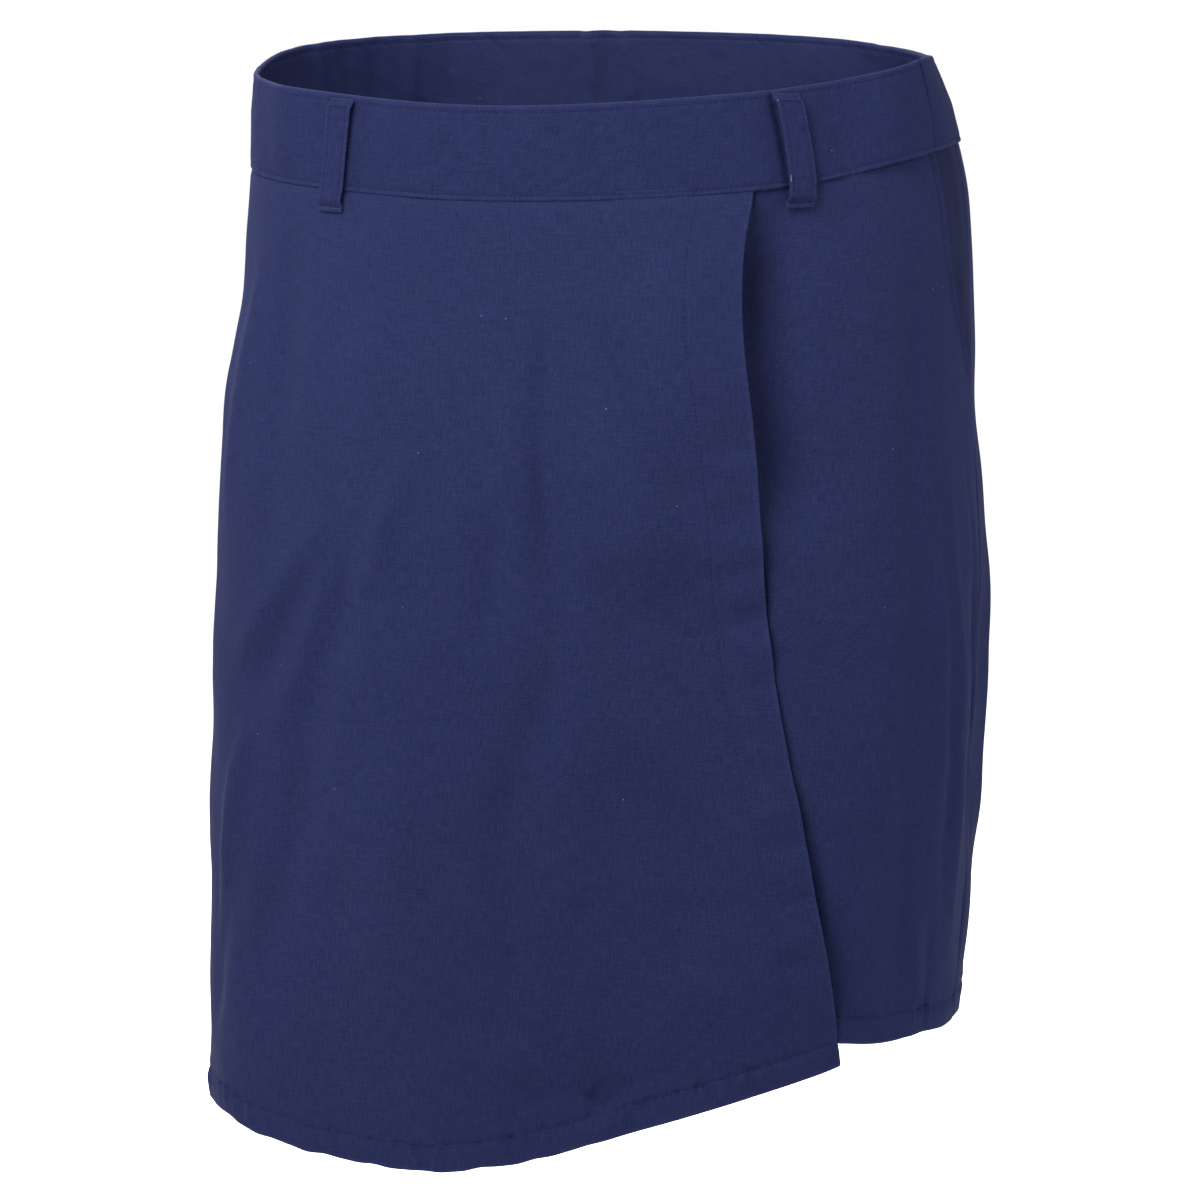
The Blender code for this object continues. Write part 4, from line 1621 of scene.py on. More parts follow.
@dataclass(frozen=True)
class TwillFinish(Finish):
    """Fine cotton twill: slanting ribs, uneven yarns, a clouded dye, paler places for abrasion and painted
    light, and some lint.
    """

    name: str
    colour: Colour = (0.0083, 0.0107, 0.0347)
    # the pale colour painted for abrasion, for highlights on folded edges and for light
    pale_wear_and_light: Colour = (0.024, 0.030, 0.084)
    lint: Colour = (0.11, 0.14, 0.26)
    rib: float = 0.0010  # from one slanting rib to the next, across them
    sheen: float = 0.008
    rough: float = 0.82
    yarn_contrast: float = 0.5  # how far the palest and darkest yarns are from the mean
    cloud_contrast: float = 0.10

    RIB_ACROSS = 0.866  # the ribs slant at 60 degrees
    RIB_DOWN = 0.5
    WANDER = 0.0016  # how far a rib strays from its line, and how often
    WANDER_SCALE = 160.0
    WARP = (1150.0, 150.0, 1.0)  # cells a metre, across and down the cloth
    WEFT = (120.0, 1050.0, 1.0)
    GRAIN = 1500.0
    WARP_SHARE = 0.38
    WEFT_SHARE = 0.28
    GRAIN_SHARE = 0.34
    CLOUD = 60.0
    CLOUD_STRETCH = (1.0, 0.6, 1.0)
    YARN_SHADE = 1.60  # how much the yarns and the ribs count in the colour
    RIB_SHADE = 0.085
    YARN_RISE = 1.5  # and in the bump
    RIB_RISE = 0.30
    BUMP_STRENGTH = 0.55
    BUMP_HEIGHT = 0.00012
    YARN_ROUGH = 0.16
    # how far toward the pale colour the painted abrasion and light go
    WEAR_AND_LIGHT_MOST = 0.75
    WEAR_AND_LIGHT_LESS = 0.05  # the dark yarns are painted less pale than the pale ones
    YARN_SPREAD = (1.5, 1.25, 0.9)
    SPECULAR = 0.015
    SHEEN_ROUGH = 0.45
    SHEEN_TINT = (0.40, 0.46, 0.80, 1.0)
    LINT_CELLS = 190.0
    LINT_RARE = 0.972  # the part of the cells that has no lint
    LINT_SIZE = 0.055
    LINT_MOST = 0.55

    def dress(self, board: NodeBoard, shader: bpy.types.Node) -> None:
        """See Finish.dress."""
        cloth = board.add("ShaderNodeAttribute", attribute_name="cloth").outputs["Vector"]
        # the paleness of abrasion, painted highlights and painted light
        worn = board.add("ShaderNodeAttribute", attribute_name="worn").outputs["Fac"]

        parts = board.add("ShaderNodeSeparateXYZ")
        board.feed(parts.inputs[0], cloth)
        wander = board.math("MULTIPLY", board.noise(cloth, self.WANDER_SCALE, 2.0), self.WANDER)
        steep = board.math("MULTIPLY", parts.outputs["X"], self.RIB_ACROSS)
        slant = board.math("MULTIPLY", parts.outputs["Y"], self.RIB_DOWN)
        rib_place = board.math("ADD", board.math("ADD", steep, slant), wander)
        rib = board.math("SINE", board.math("MULTIPLY", rib_place, 2.0 * pi / self.rib))

        warp = board.math("MULTIPLY", board.noise(cloth, 1.0, 3.0, self.WARP), self.WARP_SHARE)
        weft = board.math("MULTIPLY", board.noise(cloth, 1.0, 3.0, self.WEFT), self.WEFT_SHARE)
        grain = board.math("MULTIPLY", board.noise(cloth, self.GRAIN, 1.0), self.GRAIN_SHARE)
        yarn = board.math("ADD", board.math("ADD", warp, weft), grain)
        cloud = board.noise(cloth, self.CLOUD, 5.0, self.CLOUD_STRETCH)

        pale = board.math("MULTIPLY", board.math("SUBTRACT", yarn, 0.5), self.YARN_SHADE)
        pale = board.math("ADD", pale, board.math("MULTIPLY", rib, self.RIB_SHADE))
        clouded = board.math("MULTIPLY", board.math("SUBTRACT", cloud, 0.5), self.cloud_contrast)
        pale = board.math("ADD", board.math("ADD", pale, clouded), 0.5, clamp=True)
        tint = board.blend(pale, self.yarn(-1.0), self.yarn(1.0))
        # paler where the mesh attribute says: abrasion, painted highlights on folded edges and painted light
        pale_wear_and_light = board.math("MULTIPLY", worn, board.math("ADD", yarn, -self.WEAR_AND_LIGHT_LESS), clamp=True)
        colour = board.blend(board.math("MULTIPLY", pale_wear_and_light, self.WEAR_AND_LIGHT_MOST), tint, self.pale_wear_and_light)
        colour = board.blend(self.lint_specks(board, cloth), colour, self.lint)
        board.feed(shader.inputs["Base Color"], colour)

        ribs = board.math("MULTIPLY", rib, self.RIB_RISE)
        height = board.math("ADD", ribs, board.math("MULTIPLY", yarn, self.YARN_RISE))
        board.bump(shader, height, self.BUMP_STRENGTH, self.BUMP_HEIGHT)
        rough = board.math("MULTIPLY", yarn, self.YARN_ROUGH)
        rough = board.math("ADD", rough, self.rough - self.YARN_ROUGH / 2.0, clamp=True)
        board.feed(shader.inputs["Roughness"], rough)
        shader.inputs["Specular IOR Level"].default_value = self.SPECULAR
        shader.inputs["Sheen Weight"].default_value = self.sheen
        shader.inputs["Sheen Roughness"].default_value = self.SHEEN_ROUGH
        shader.inputs["Sheen Tint"].default_value = self.SHEEN_TINT

    def yarn(self, side: float) -> Colour:
        """The darkest yarn's colour for side -1, and the palest and greyest yarn's for side 1.

        Args:
            side: -1 or 1.

        Returns:
            The colour.
        """
        spread = self.yarn_contrast * side
        red, green, blue = (part * (1.0 + more * spread) for part, more in zip(self.colour, self.YARN_SPREAD))
        return red, green, blue

    def lint_specks(self, board: NodeBoard, cloth: bpy.types.NodeSocket) -> bpy.types.NodeSocket:
        """Scatters a few pale specks of lint.

        Args:
            board: The material's nodes.
            cloth: Places on the cloth.

        Returns:
            How much lint there is, from 0 to 1.
        """
        cells = board.add("ShaderNodeTexVoronoi", feature="F1")
        board.feed(cells.inputs["Vector"], cloth)
        cells.inputs["Scale"].default_value = self.LINT_CELLS
        pick = board.add("ShaderNodeSeparateColor")
        board.feed(pick.inputs[0], cells.outputs["Color"])
        chosen = board.math("GREATER_THAN", pick.outputs[0], self.LINT_RARE)
        near = board.math("LESS_THAN", cells.outputs["Distance"], self.LINT_SIZE)
        return board.math("MULTIPLY", board.math("MULTIPLY", chosen, near), self.LINT_MOST)


@dataclass(frozen=True)
class ThreadFinish(Finish):
    """Sewing thread: two twisted plies with a slight shine."""

    name: str
    colour: Colour = (0.0046, 0.0060, 0.0230)
    pale: Colour = (0.0100, 0.0128, 0.0420)
    rough: float = 0.55

    FIBRES = 1400.0  # cells a metre
    BUMP_STRENGTH = 0.5
    BUMP_HEIGHT = 0.00005
    SPECULAR = 0.03

    def dress(self, board: NodeBoard, shader: bpy.types.Node) -> None:
        """See Finish.dress."""
        place = board.add("ShaderNodeTexCoord").outputs["Object"]
        fibre = board.noise(place, self.FIBRES, 2.0)
        board.feed(shader.inputs["Base Color"], board.blend(fibre, self.colour, self.pale))
        board.bump(shader, fibre, self.BUMP_STRENGTH, self.BUMP_HEIGHT)
        shader.inputs["Roughness"].default_value = self.rough
        shader.inputs["Specular IOR Level"].default_value = self.SPECULAR


@dataclass(frozen=True)
class FloorFinish(Finish):
    """Plain matt pale paper."""

    name: str = "pale_floor"
    colour: Colour = (0.93, 0.93, 0.93)
    rough: float = 0.9

    def dress(self, board: NodeBoard, shader: bpy.types.Node) -> None:
        """See Finish.dress."""
        shader.inputs["Base Color"].default_value = (*self.colour, 1.0)
        shader.inputs["Roughness"].default_value = self.rough


class LoopPlace(NamedTuple):
    """Where a belt loop is sewn, and how it bows. Its angles are those of its two ends."""
    name: str
    band: Band
    top: float
    bottom: float
    bow: float
    twist: float
    frayed: bool = False


@dataclass
class Skort:
    """The whole garment: its seams, its panels and the stitching on them."""

    form: BodyForm = field(default_factory=BodyForm)
    right_side_seam: tuple[SeamRow, ...] = (
        SeamRow(-0.015, -80.0),
        SeamRow(-0.080, -74.0),
        SeamRow(-0.150, -70.0),
        SeamRow(-0.210, -71.0),
        SeamRow(-0.300, -76.0),
        SeamRow(-0.480, -79.0),
    )
    left_side_seam: tuple[SeamRow, ...] = (
        SeamRow(-0.010, 90.0),
        SeamRow(-0.240, 88.0),
        SeamRow(-0.480, 86.0),
    )
    pocket_mouth: tuple[SeamRow, ...] = (
        SeamRow(-0.010, 71.0),
        SeamRow(-0.050, 72.5),
        SeamRow(-0.070, 74.5),
        SeamRow(-0.091, 79.0),
        SeamRow(-0.124, 88.0),
        SeamRow(-0.160, 99.0),
    )
    apron_edge: tuple[SeamRow, ...] = (
        SeamRow(-0.022, 29.0),
        SeamRow(-0.050, 26.2),
        SeamRow(-0.085, 25.8),
        SeamRow(-0.130, 27.9),
        SeamRow(-0.180, 29.1),
        SeamRow(-0.240, 31.4),
        SeamRow(-0.275, 33.6),
        SeamRow(-0.315, 37.0),
        SeamRow(-0.365, 41.2),
        SeamRow(-0.425, 46.8),
        SeamRow(-0.480, 52.8),
    )
    front_band_folds: tuple[Fold, ...] = (
        Fold(-0.3, 0.03, -1.8, -0.04, 0.0026, -0.0005),
        Fold(2.6, 0.028, 1.0, -0.036, 0.004, 0.0005),
        Fold(-5.5, 0.028, -6.5, -0.036, 0.005, 0.00035),
        Fold(-26.0, 0.03, -31.0, -0.03, 0.008, 0.0009),
        Fold(-18.0, 0.03, -19.0, -0.035, 0.009, -0.0005),
        Fold(14.0, 0.03, 16.0, -0.03, 0.008, -0.00045),
        Fold(53.0, 0.034, 58.0, -0.014, 0.007, 0.0009),
        Fold(64.0, 0.04, 65.0, -0.01, 0.005, -0.0007),
        Fold(59.0, 0.03, 61.0, -0.03, 0.017, 0.0036),
        Fold(46.0, 0.03, 47.0, -0.03, 0.008, -0.0018),
        Fold(36.0, 0.04, 35.0, -0.034, 0.0022, -0.0026),
        Fold(-55.0, 0.03, -53.0, -0.03, 0.013, 0.0026),
    )
    back_band_folds: tuple[Fold, ...] = (
        Fold(243.0, 0.034, 238.0, -0.03, 0.005, -0.0018),
        Fold(236.0, 0.034, 231.0, -0.02, 0.0045, 0.0014),
        Fold(226.0, 0.034, 228.0, -0.02, 0.006, 0.001),
        Fold(219.0, 0.034, 220.5, -0.02, 0.0042, -0.0016),
        Fold(212.0, 0.034, 212.5, -0.02, 0.006, 0.001),
        Fold(204.0, 0.034, 207.0, -0.02, 0.008, 0.0006),
        Fold(188.2, 0.036, 188.2, -0.01, 0.003, -0.0022),
        Fold(182.2, 0.036, 181.6, -0.02, 0.0034, -0.002),
        Fold(185.2, 0.036, 185.0, -0.02, 0.004, 0.0012),
        Fold(156.0, 0.034, 153.0, -0.02, 0.008, 0.0008),
        Fold(131.0, 0.034, 129.0, -0.02, 0.006, -0.0008),
    )
    front_left_folds: tuple[Fold, ...] = (
        Fold(50.0, -0.05, 50.0, -0.42, 0.02, 0.0022),
        Fold(86.0, -0.17, 87.0, -0.365, 0.017, -0.0034),
        Fold(75.5, -0.19, 77.0, -0.345, 0.005, 0.0013),
        Fold(61.0, -0.03, 58.0, -0.23, 0.01, -0.003),
        Fold(58.5, -0.19, 54.0, -0.31, 0.0095, -0.0026),
        Fold(54.0, -0.27, 58.5, -0.415, 0.0085, -0.0024, 0.004),
        Fold(62.0, -0.15, 65.5, -0.35, 0.0065, 0.0026, 0.002),
        Fold(69.0, -0.14, 77.5, -0.39, 0.0055, 0.0022, -0.002),
        Fold(66.0, -0.2, 71.5, -0.38, 0.004, -0.001),
        Fold(78.5, -0.14, 92.0, -0.345, 0.0038, -0.0018),
        Fold(60.5, -0.33, 64.5, -0.425, 0.005, 0.0016),
        Fold(67.0, -0.35, 68.5, -0.42, 0.0045, -0.0012),
        Fold(35.0, -0.2, 52.0, -0.15, 0.012, 0.0012),
        Fold(45.0, -0.3, 50.0, -0.345, 0.011, -0.0016),
        Fold(47.0, -0.345, 55.0, -0.385, 0.009, 0.0012),
    )
    front_right_folds: tuple[Fold, ...] = (
        Fold(-58.0, -0.2, -62.0, -0.38, 0.01, 0.0014),
        Fold(-40.0, -0.16, -46.0, -0.33, 0.014, -0.0014),
        Fold(-70.0, -0.25, -67.0, -0.4, 0.009, -0.0012),
    )
    back_left_folds: tuple[Fold, ...] = (
        Fold(86.0, -0.17, 87.0, -0.365, 0.017, -0.0034),
        Fold(78.5, -0.14, 92.0, -0.345, 0.0038, -0.0018),
        Fold(97.0, -0.16, 101.0, -0.38, 0.006, 0.0018),
        Fold(101.0, -0.18, 104.5, -0.36, 0.005, -0.0016),
        Fold(106.0, -0.06, 109.0, -0.3, 0.012, -0.0018),
        Fold(113.0, -0.21, 152.0, -0.248, 0.01, 0.0022, 0.008),
        Fold(118.0, -0.232, 156.0, -0.266, 0.007, -0.002, 0.007),
        Fold(112.0, -0.25, 120.0, -0.41, 0.01, 0.0018),
        Fold(121.0, -0.3, 125.0, -0.415, 0.007, -0.0014),
        Fold(132.0, -0.27, 128.0, -0.4, 0.012, -0.0018),
        Fold(166.0, -0.12, 138.0, -0.22, 0.012, -0.002, -0.006),
        Fold(172.0, -0.155, 148.0, -0.245, 0.009, 0.0016, -0.005),
        Fold(150.0, -0.3, 142.0, -0.42, 0.009, 0.0016),
        Fold(150.0, -0.03, 146.0, -0.11, 0.014, -0.0014),
        Fold(128.0, -0.025, 131.0, -0.15, 0.011, 0.0011),
    )
    back_right_folds: tuple[Fold, ...] = (
        Fold(-84.0, -0.05, -82.0, -0.24, 0.009, -0.0012),
        Fold(-95.0, -0.19, -99.0, -0.38, 0.0065, 0.0017),
        Fold(-100.0, -0.08, -106.0, -0.33, 0.013, -0.0019),
        Fold(-110.0, -0.222, -149.0, -0.262, 0.01, 0.0022, -0.009),
        Fold(-119.0, -0.246, -153.0, -0.281, 0.007, -0.0018, -0.006),
        Fold(-116.0, -0.26, -119.0, -0.415, 0.011, 0.0018),
        Fold(-125.0, -0.32, -124.0, -0.415, 0.008, -0.0013),
        Fold(-136.0, -0.28, -131.0, -0.41, 0.012, -0.0017),
        Fold(-167.0, -0.11, -141.0, -0.212, 0.013, -0.002, 0.007),
        Fold(-171.0, -0.165, -150.0, -0.24, 0.008, 0.0015, 0.004),
        Fold(-146.0, -0.33, -141.0, -0.42, 0.008, 0.0014),
        Fold(-152.0, -0.03, -148.0, -0.12, 0.013, -0.0013),
        Fold(-126.0, -0.03, -130.0, -0.16, 0.01, 0.0012),
    )
    apron_broad_folds: tuple[Fold, ...] = (
        Fold(-17.0, -0.08, -15.0, -0.54, 0.04, 0.0038),
        Fold(28.0, -0.04, 9.0, -0.56, 0.041, -0.0075),
        Fold(-44.0, -0.14, -47.0, -0.48, 0.03, -0.0012),
        Fold(12.0, -0.05, 14.0, -0.225, 0.0165, 0.0022),
        Fold(-58.0, -0.35, -54.0, -0.52, 0.03, 0.003),
        Fold(2.0, -0.23, 3.0, -0.46, 0.015, -0.0022),
    )
    apron_folds: tuple[Fold, ...] = (
        Fold(-3.5, -0.055, -0.8, -0.19, 0.005, -0.0015),
        Fold(-1.5, -0.13, 1.5, -0.26, 0.008, -0.0024),
        Fold(-7.5, -0.09, -4.5, -0.215, 0.011, 0.0026),
        Fold(-7.0, -0.15, -10.5, -0.24, 0.008, -0.0024),
        Fold(0.0, -0.225, -9.5, -0.325, 0.0105, -0.0036, 0.002),
        Fold(-7.5, -0.28, -4.5, -0.405, 0.012, -0.0034),
        Fold(4.5, -0.235, 1.0, -0.37, 0.012, 0.003),
        Fold(3.5, -0.07, 24.0, -0.192, 0.01, -0.0042, 0.003),
        Fold(12.0, -0.04, 27.5, -0.14, 0.013, 0.0034),
        Fold(3.0, -0.12, 17.0, -0.205, 0.012, 0.0026),
        Fold(5.0, -0.18, 15.0, -0.232, 0.012, -0.0024),
        Fold(3.0, -0.255, 26.0, -0.34, 0.013, -0.0026, -0.003),
        Fold(10.0, -0.24, 22.0, -0.312, 0.012, 0.002),
        Fold(14.0, -0.343, 28.0, -0.347, 0.0055, -0.0013),
        Fold(16.0, -0.377, 28.0, -0.387, 0.009, 0.0017),
        Fold(-20.0, -0.13, -32.0, -0.225, 0.0075, 0.0026, 0.003),
        Fold(-25.0, -0.165, -43.0, -0.31, 0.011, -0.0034, -0.003),
        Fold(-35.0, -0.26, -51.0, -0.4, 0.011, -0.0036),
        Fold(-31.0, -0.18, -48.0, -0.29, 0.008, 0.002),
        Fold(-32.0, -0.158, -60.0, -0.258, 0.0085, 0.003, 0.003),
        Fold(-35.0, -0.18, -54.0, -0.272, 0.0095, -0.0025, 0.002),
        Fold(-51.0, -0.255, -66.0, -0.4, 0.0065, 0.0036),
        Fold(-60.0, -0.33, -66.0, -0.43, 0.009, -0.0028),
        Fold(-22.0, -0.25, -26.0, -0.42, 0.016, 0.003),
        Fold(-50.5, -0.025, -45.5, -0.2, 0.012, -0.0048),
        Fold(-60.0, -0.05, -61.0, -0.19, 0.008, 0.0022),
        Fold(-33.0, -0.06, -24.0, -0.19, 0.016, 0.0026),
        Fold(-18.0, -0.395, -3.0, -0.402, 0.0065, -0.0016),
        Fold(-12.0, -0.414, 0.0, -0.417, 0.0065, 0.0018),
        Fold(-12.0, -0.431, 9.0, -0.434, 0.004, -0.0012),
        Fold(9.0, -0.365, 7.5, -0.45, 0.011, -0.0034),
        Fold(12.5, -0.424, 5.0, -0.438, 0.0046, -0.0042),
        Fold(12.0, -0.44, 6.0, -0.448, 0.005, 0.002),
        Fold(4.5, -0.434, 10.0, -0.43, 0.003, -0.0022),
        Fold(9.0, -0.43, 24.0, -0.415, 0.003, -0.0008),
    )
    facing_folds: tuple[Fold, ...] = (
        Fold(22.8, -0.146, 31.0, -0.142, 0.006, 0.0009),
        Fold(20.5, -0.168, 31.0, -0.166, 0.0095, -0.0022),
        Fold(22.5, -0.206, 32.0, -0.2, 0.005, 0.0017),
        Fold(22.5, -0.194, 31.0, -0.19, 0.003, -0.0008),
        Fold(23.5, -0.217, 32.0, -0.213, 0.0045, -0.0012),
        Fold(24.5, -0.231, 34.0, -0.226, 0.006, 0.0013),
        Fold(24.5, -0.246, 34.0, -0.241, 0.0045, -0.0013),
        Fold(26.5, -0.275, 36.0, -0.27, 0.007, 0.0008),
        Fold(27.5, -0.303, 38.0, -0.298, 0.006, 0.0013),
        Fold(28.5, -0.318, 39.0, -0.313, 0.004, -0.0012),
        Fold(29.5, -0.33, 40.0, -0.326, 0.006, 0.001),
        Fold(30.5, -0.345, 41.0, -0.34, 0.004, -0.001),
        Fold(31.0, -0.361, 42.0, -0.357, 0.005, 0.0012),
        Fold(31.5, -0.372, 42.0, -0.369, 0.0035, -0.001),
    )
    loops: tuple[LoopPlace, ...] = (
        LoopPlace("front_left", Band.FRONT, top=37.6, bottom=36.5, bow=0.0027, twist=0.25, frayed=True),
        LoopPlace("front_right", Band.FRONT, top=-37.6, bottom=-40.0, bow=0.0018, twist=0.0),
        LoopPlace("back_left", Band.BACK, top=131.0, bottom=131.0, bow=0.0040, twist=-0.2),
        LoopPlace("back_right", Band.BACK, top=-131.0, bottom=-131.0, bow=0.0040, twist=0.25),
        LoopPlace("back_centre", Band.BACK, top=-175.0, bottom=-175.0, bow=0.0040, twist=0.1),
    )

    LINE_POINTS = 900  # how many points each kind of row of stitches is laid along
    FACING_POINTS = 700
    HEM_POINTS = 500
    SHORT_POINTS = 200
    BAND_SPAN = (0.002, 0.998)  # where the rows of stitches start and end, in parts of the panel
    PANEL_SPAN = (0.004, 0.996)
    MOUTH_SPAN = (0.004, 0.262)
    LOOP_SPAN = (0.06, 0.93)

    def build(self) -> None:
        """Makes every piece."""
        twill = TwillFinish("panel_twill")
        band_twill = TwillFinish("band_twill", colour=(0.0086, 0.0111, 0.0360))
        # painted shade: the pocket facing gets a darker copy of the twill, for the shade inside the pocket
        # mouth
        facing_twill = TwillFinish("facing_twill", colour=(0.0056, 0.0072, 0.0225))
        thread = ThreadFinish("navy_thread")
        tack_thread = ThreadFinish("tack_thread", colour=(0.0090, 0.0115, 0.0380), pale=(0.024, 0.030, 0.080))
        loose_thread = ThreadFinish("loose_thread", colour=(0.07, 0.09, 0.16), pale=(0.22, 0.24, 0.34))
        self.build_band(band_twill, thread)
        self.build_shorts(twill, facing_twill, thread)
        apron = self.build_apron(twill, thread)
        self.build_loops(apron, band_twill, thread, tack_thread, loose_thread)

    def build_band(self, twill: TwillFinish, thread: ThreadFinish) -> None:
        """Makes both halves of the waistband.

        Args:
            twill: Their finish.
            thread: The stitches' finish.
        """
        halves = (
            WaistbandHalf(Band.FRONT.value, "waistband_front", self.form, twill,
                          folds=self.front_band_folds, hung_from=Band.BACK),
            WaistbandHalf(Band.BACK.value, "waistband_back", self.form, twill, seed=5,
                          first_top=80.5, first_bottom=71.0, last_top=272.0, last_bottom=272.0,
                          folds=self.back_band_folds),
        )
        line = np.linspace(*self.BAND_SPAN, self.LINE_POINTS)
        for half in halves:
            rows = Stitching(half.name.replace("cloth", "stitching"), thread, Slot.BAND)
            length = np.interp(line, half.places, half.lengths)
            for face in Face:
                rows.row(half, line, half.TOP_ROW / length, face)
                rows.row(half, line, 1.0 - half.BOTTOM_ROW / length, face)
            half.build([rows.build()])

    def build_shorts(self, twill: TwillFinish, facing_twill: TwillFinish, thread: ThreadFinish) -> None:
        """Makes the four leg panels and the pocket facing.

        Args:
            twill: The panels' finish.
            facing_twill: The pocket facing's finish.
            thread: The stitches' finish.
        """
        panels = (
            LegPanel("front_left_panel", "front_leg_left", self.form, twill, side=1, front=True,
                     side_seam=self.left_side_seam, mouth=self.pocket_mouth, folds=self.front_left_folds,
                     covered_to=self.apron_edge, seed=10, spacing=0.0026),
            LegPanel("front_right_panel", "front_leg_right", self.form, twill, side=-1, front=True,
                     side_seam=self.right_side_seam, folds=self.front_right_folds, covered_to=self.apron_edge,
                     seed=20),
            LegPanel("back_left_panel", "back_leg_left", self.form, twill, side=1, front=False,
                     side_seam=self.left_side_seam, folds=self.back_left_folds, seed=30,
                     hung_from=Band.BACK),
            LegPanel("back_right_panel", "back_leg_right", self.form, twill, side=-1, front=False,
                     side_seam=self.right_side_seam, folds=self.back_right_folds, seed=40,
                     hung_from=Band.BACK),
        )
        line = np.linspace(*self.PANEL_SPAN, self.HEM_POINTS)
        for panel in panels:
            rows = Stitching(panel.name.replace("panel", "stitching"), thread)
            length = np.interp(line, panel.places, panel.lengths)
            rows.row(panel, line, 1.0 - panel.HEM_DEPTH / length)
            if panel.mouth:
                self.sew_pocket_mouth(panel, rows)
            panel.build([rows.build()])
        PocketFacing("pocket_facing_panel", "pocket_facing_left", self.form, facing_twill,
                     mouth=self.pocket_mouth, side_seam=self.left_side_seam).build()

    def sew_pocket_mouth(self, panel: LegPanel, rows: Stitching) -> None:
        """Adds the row of stitches beside the pocket mouth.

        Args:
            panel: The front panel whose edge is the mouth.
            rows: The stitching to add to.
        """
        down = np.linspace(*self.MOUTH_SPAN, self.SHORT_POINTS)
        width = np.interp(down, panel.places, panel.widths)
        rows.row(panel, 1.0 - panel.MOUTH_ROW / width, down)

    def build_apron(self, twill: TwillFinish, thread: ThreadFinish) -> Apron:
        """Makes the apron.

        Args:
            twill: Its finish.
            thread: The stitches' finish.

        Returns:
            The apron, so that the belt loops can lie on it.
        """
        folds = self.apron_broad_folds + self.apron_folds + self.facing_folds
        apron = Apron("apron_panel", "apron", self.form, twill, side_seam=self.right_side_seam,
                      free_edge=self.apron_edge, folds=folds)
        rows = Stitching("apron_stitching", thread)
        line = np.linspace(*self.PANEL_SPAN, self.LINE_POINTS)
        length = np.interp(line, apron.places, apron.lengths)
        rows.row(apron, line, 1.0 - apron.HEM_DEPTH / length)
        down = np.linspace(0.006, 1.0 - apron.HEM_DEPTH / float(apron.lengths[-1]), self.FACING_POINTS)
        width = np.interp(down, apron.places, apron.widths)
        rows.row(apron, 1.0 - apron.FACING / width, down)
        apron.build([rows.build()])
        return apron

    def build_loops(self, apron: Apron, twill: TwillFinish, thread: ThreadFinish,
                    tack_thread: ThreadFinish, loose_thread: ThreadFinish) -> None:
        """Makes the five belt loops.

        Args:
            apron: The apron, which the right front loop reaches down onto.
            twill: Their finish.
            thread: The finish of the stitches along their edges.
            tack_thread: The finish of the bar tacks.
            loose_thread: The finish of the pale thread ends beside them.
        """
        down = np.linspace(*self.LOOP_SPAN, self.SHORT_POINTS)
        for number, place in enumerate(self.loops):
            node = "belt_loop_" + place.name
            loop = BeltLoop(node + "_cloth", node, self.form, twill, top_angle=place.top,
                            bottom_angle=place.bottom, bow=place.bow, twist=place.twist,
                            under=apron.face_out, seed=80 + 5 * number, hung_from=place.band)
            rows = Stitching(node + "_stitching", thread, Slot.BAND,
                             pitch=0.0024, length=0.0019, radius=0.00015)
            for across in (loop.EDGE_ROW / loop.WIDTH, 1.0 - loop.EDGE_ROW / loop.WIDTH):
                rows.row(loop, np.full(down.shape, across), down)
            tacks = Stitching(node + "_tacks", tack_thread, Slot.BAND, radius=0.00017)
            tacks.bar_tack(loop, down=0.980, height=0.0010, first=0.02, last=0.98)
            rows.bar_tack(loop, down=0.060, height=0.0010, first=0.08, last=0.92)
            trims = [rows.build(), tacks.build()]
            if place.frayed:
                frayed = Stitching(node + "_frayed_ends", loose_thread, Slot.BAND,
                                   pitch=0.0011, length=0.0020, radius=0.00011)
                frayed.row(loop, np.full(2, 0.005), np.array([0.055, 0.100]))
                frayed.row(loop, np.full(2, 0.010), np.array([0.715, 0.765]))
                trims.append(frayed.build())
            loop.build(trims)


class Softbox(NamedTuple):
    """A square soft light that faces the garment: where it stands, its side and its watts."""
    name: str
    azimuth: float
    elevation: float
    away: float
    size: float
    power: float


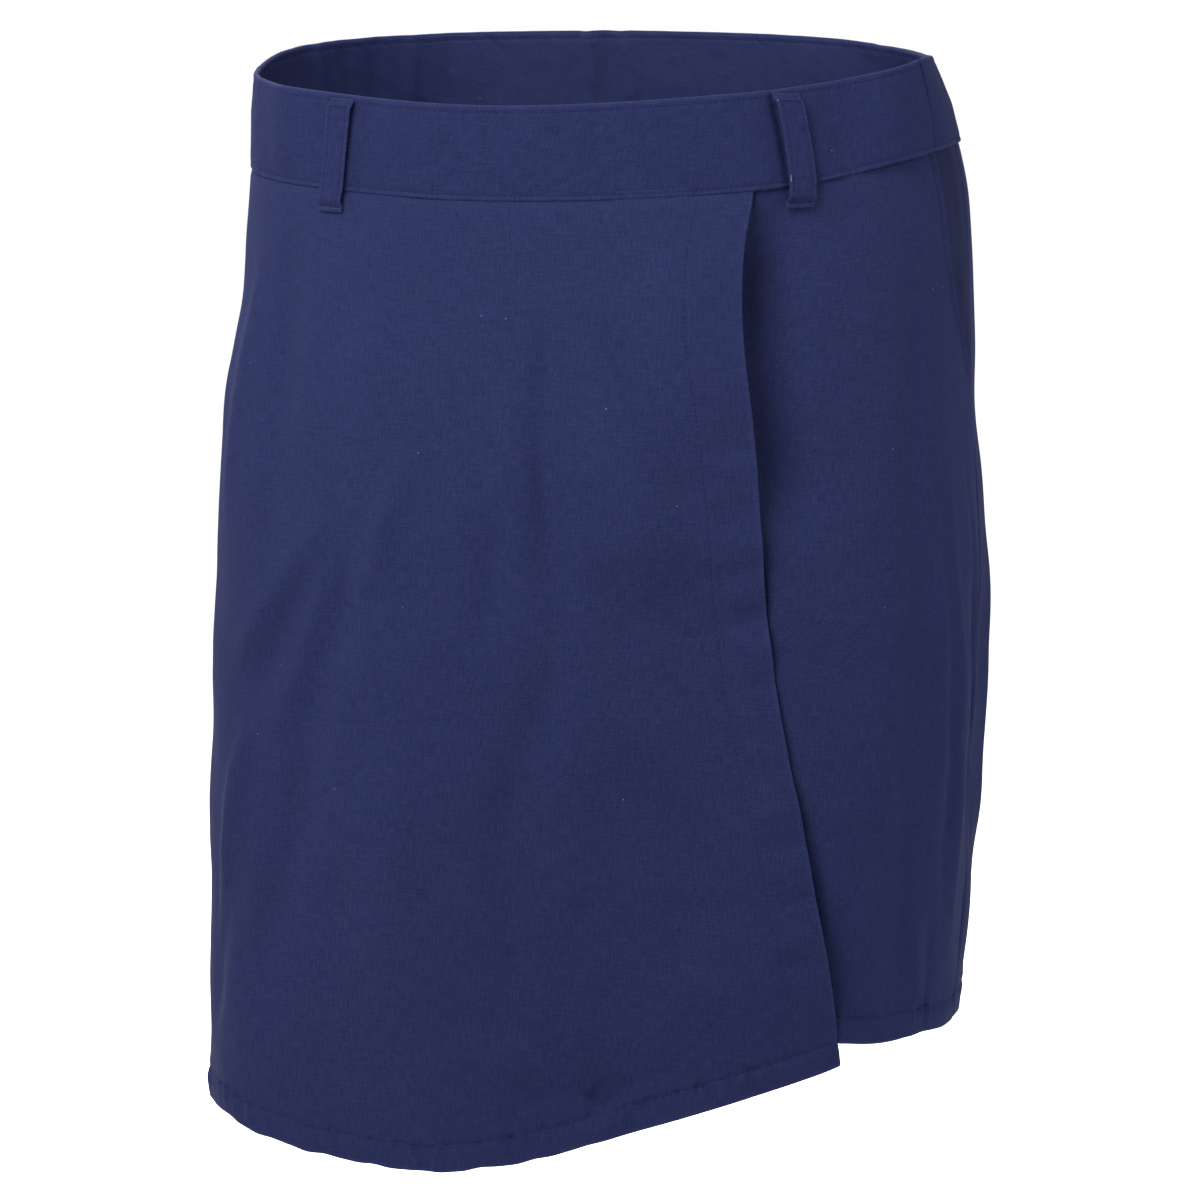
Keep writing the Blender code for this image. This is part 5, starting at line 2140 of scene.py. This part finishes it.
@dataclass
class Studio:
    """The floor, the lights and the camera."""

    aim: tuple[float, float, float] = (0.0, 0.0, -0.226)
    azimuth: float = 10.0
    elevation: float = 10.0
    distance: float = 3.5
    lens: float = 228.0
    sensor: float = 36.0
    floor_gap: float = 0.30  # the floor lies this far below the garment
    floor_size: float = 60.0
    room_light: float = 1.06
    softboxes: tuple[Softbox, ...] = (
        Softbox("key_light", azimuth=-23.0, elevation=46.0, away=1.45, size=0.8, power=37.5),
        Softbox("right_side_light", azimuth=-97.0, elevation=26.0, away=2.0, size=0.9, power=21.0),
        Softbox("left_side_light", azimuth=88.0, elevation=25.0, away=2.0, size=0.9, power=25.0),
        Softbox("back_light", azimuth=-150.0, elevation=42.0, away=1.8, size=1.1, power=60.0),
    )

    def build(self, lowest: float) -> None:
        """Sets up the studio.

        Args:
            lowest: The garment's lowest point.
        """
        self.lay_floor(lowest - self.floor_gap)
        for softbox in self.softboxes:
            self.add_softbox(softbox)
        self.light_room()
        self.add_camera()

    def lay_floor(self, height: float) -> None:
        """Lays a wide pale floor at a height.

        Args:
            height: The floor's height.
        """
        bpy.ops.mesh.primitive_grid_add(x_subdivisions=4, y_subdivisions=4, size=self.floor_size,
                                        location=(0.0, 0.0, height))
        floor = bpy.context.object
        floor.name = "floor"
        floor.data.materials.append(FloorFinish().material())
        floor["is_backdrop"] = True

    def add_softbox(self, softbox: Softbox) -> None:
        """Adds a square soft light that faces the garment.

        Args:
            softbox: Where it stands, its size and its power.
        """
        lamp = bpy.data.lights.new(softbox.name, "AREA")
        lamp.shape = "SQUARE"
        lamp.size = softbox.size
        lamp.energy = softbox.power
        light = bpy.data.objects.new(softbox.name, lamp)
        self.stand(light, softbox.azimuth, softbox.elevation, softbox.away)

    def stand(self, thing: bpy.types.Object, azimuth: float, elevation: float, away: float) -> None:
        """Stands a light or the camera at an azimuth, elevation and distance, facing the aim.

        Args:
            thing: The light or the camera.
            azimuth: How far round the garment, in degrees.
            elevation: How high, in degrees.
            away: Its distance.
        """
        turn, rise = radians(azimuth), radians(elevation)
        back = Vector((np.sin(turn) * np.cos(rise), -np.cos(turn) * np.cos(rise), np.sin(rise)))
        thing.location = Vector(self.aim) + back * away
        thing.rotation_euler = (Vector(self.aim) - thing.location).to_track_quat("-Z", "Y").to_euler()
        bpy.context.scene.collection.objects.link(thing)

    def light_room(self) -> None:
        """Fills the room with soft white light."""
        scene = bpy.context.scene
        scene.view_settings.view_transform = "Standard"
        scene.world = bpy.data.worlds.new("white_room")
        scene.world.use_nodes = True
        room = scene.world.node_tree.nodes["Background"]
        room.inputs["Color"].default_value = (1.0, 1.0, 1.0, 1.0)
        room.inputs["Strength"].default_value = self.room_light

    def add_camera(self) -> None:
        """Adds the camera."""
        camera = bpy.data.cameras.new("camera")
        camera.lens = self.lens
        camera.sensor_width = self.sensor
        tripod = bpy.data.objects.new("camera", camera)
        self.stand(tripod, self.azimuth, self.elevation, self.distance)
        bpy.context.scene.camera = tripod


def main() -> None:
    """Builds the garment and the studio."""
    logging.basicConfig(level=logging.INFO, format="%(name)s: %(message)s")
    for thing in list(bpy.data.objects):
        bpy.data.objects.remove(thing, do_unlink=True)
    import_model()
    cad_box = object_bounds()
    Skort().build()
    Studio().build(cad_box[0].z)


if __name__ == "__main__":
    main()
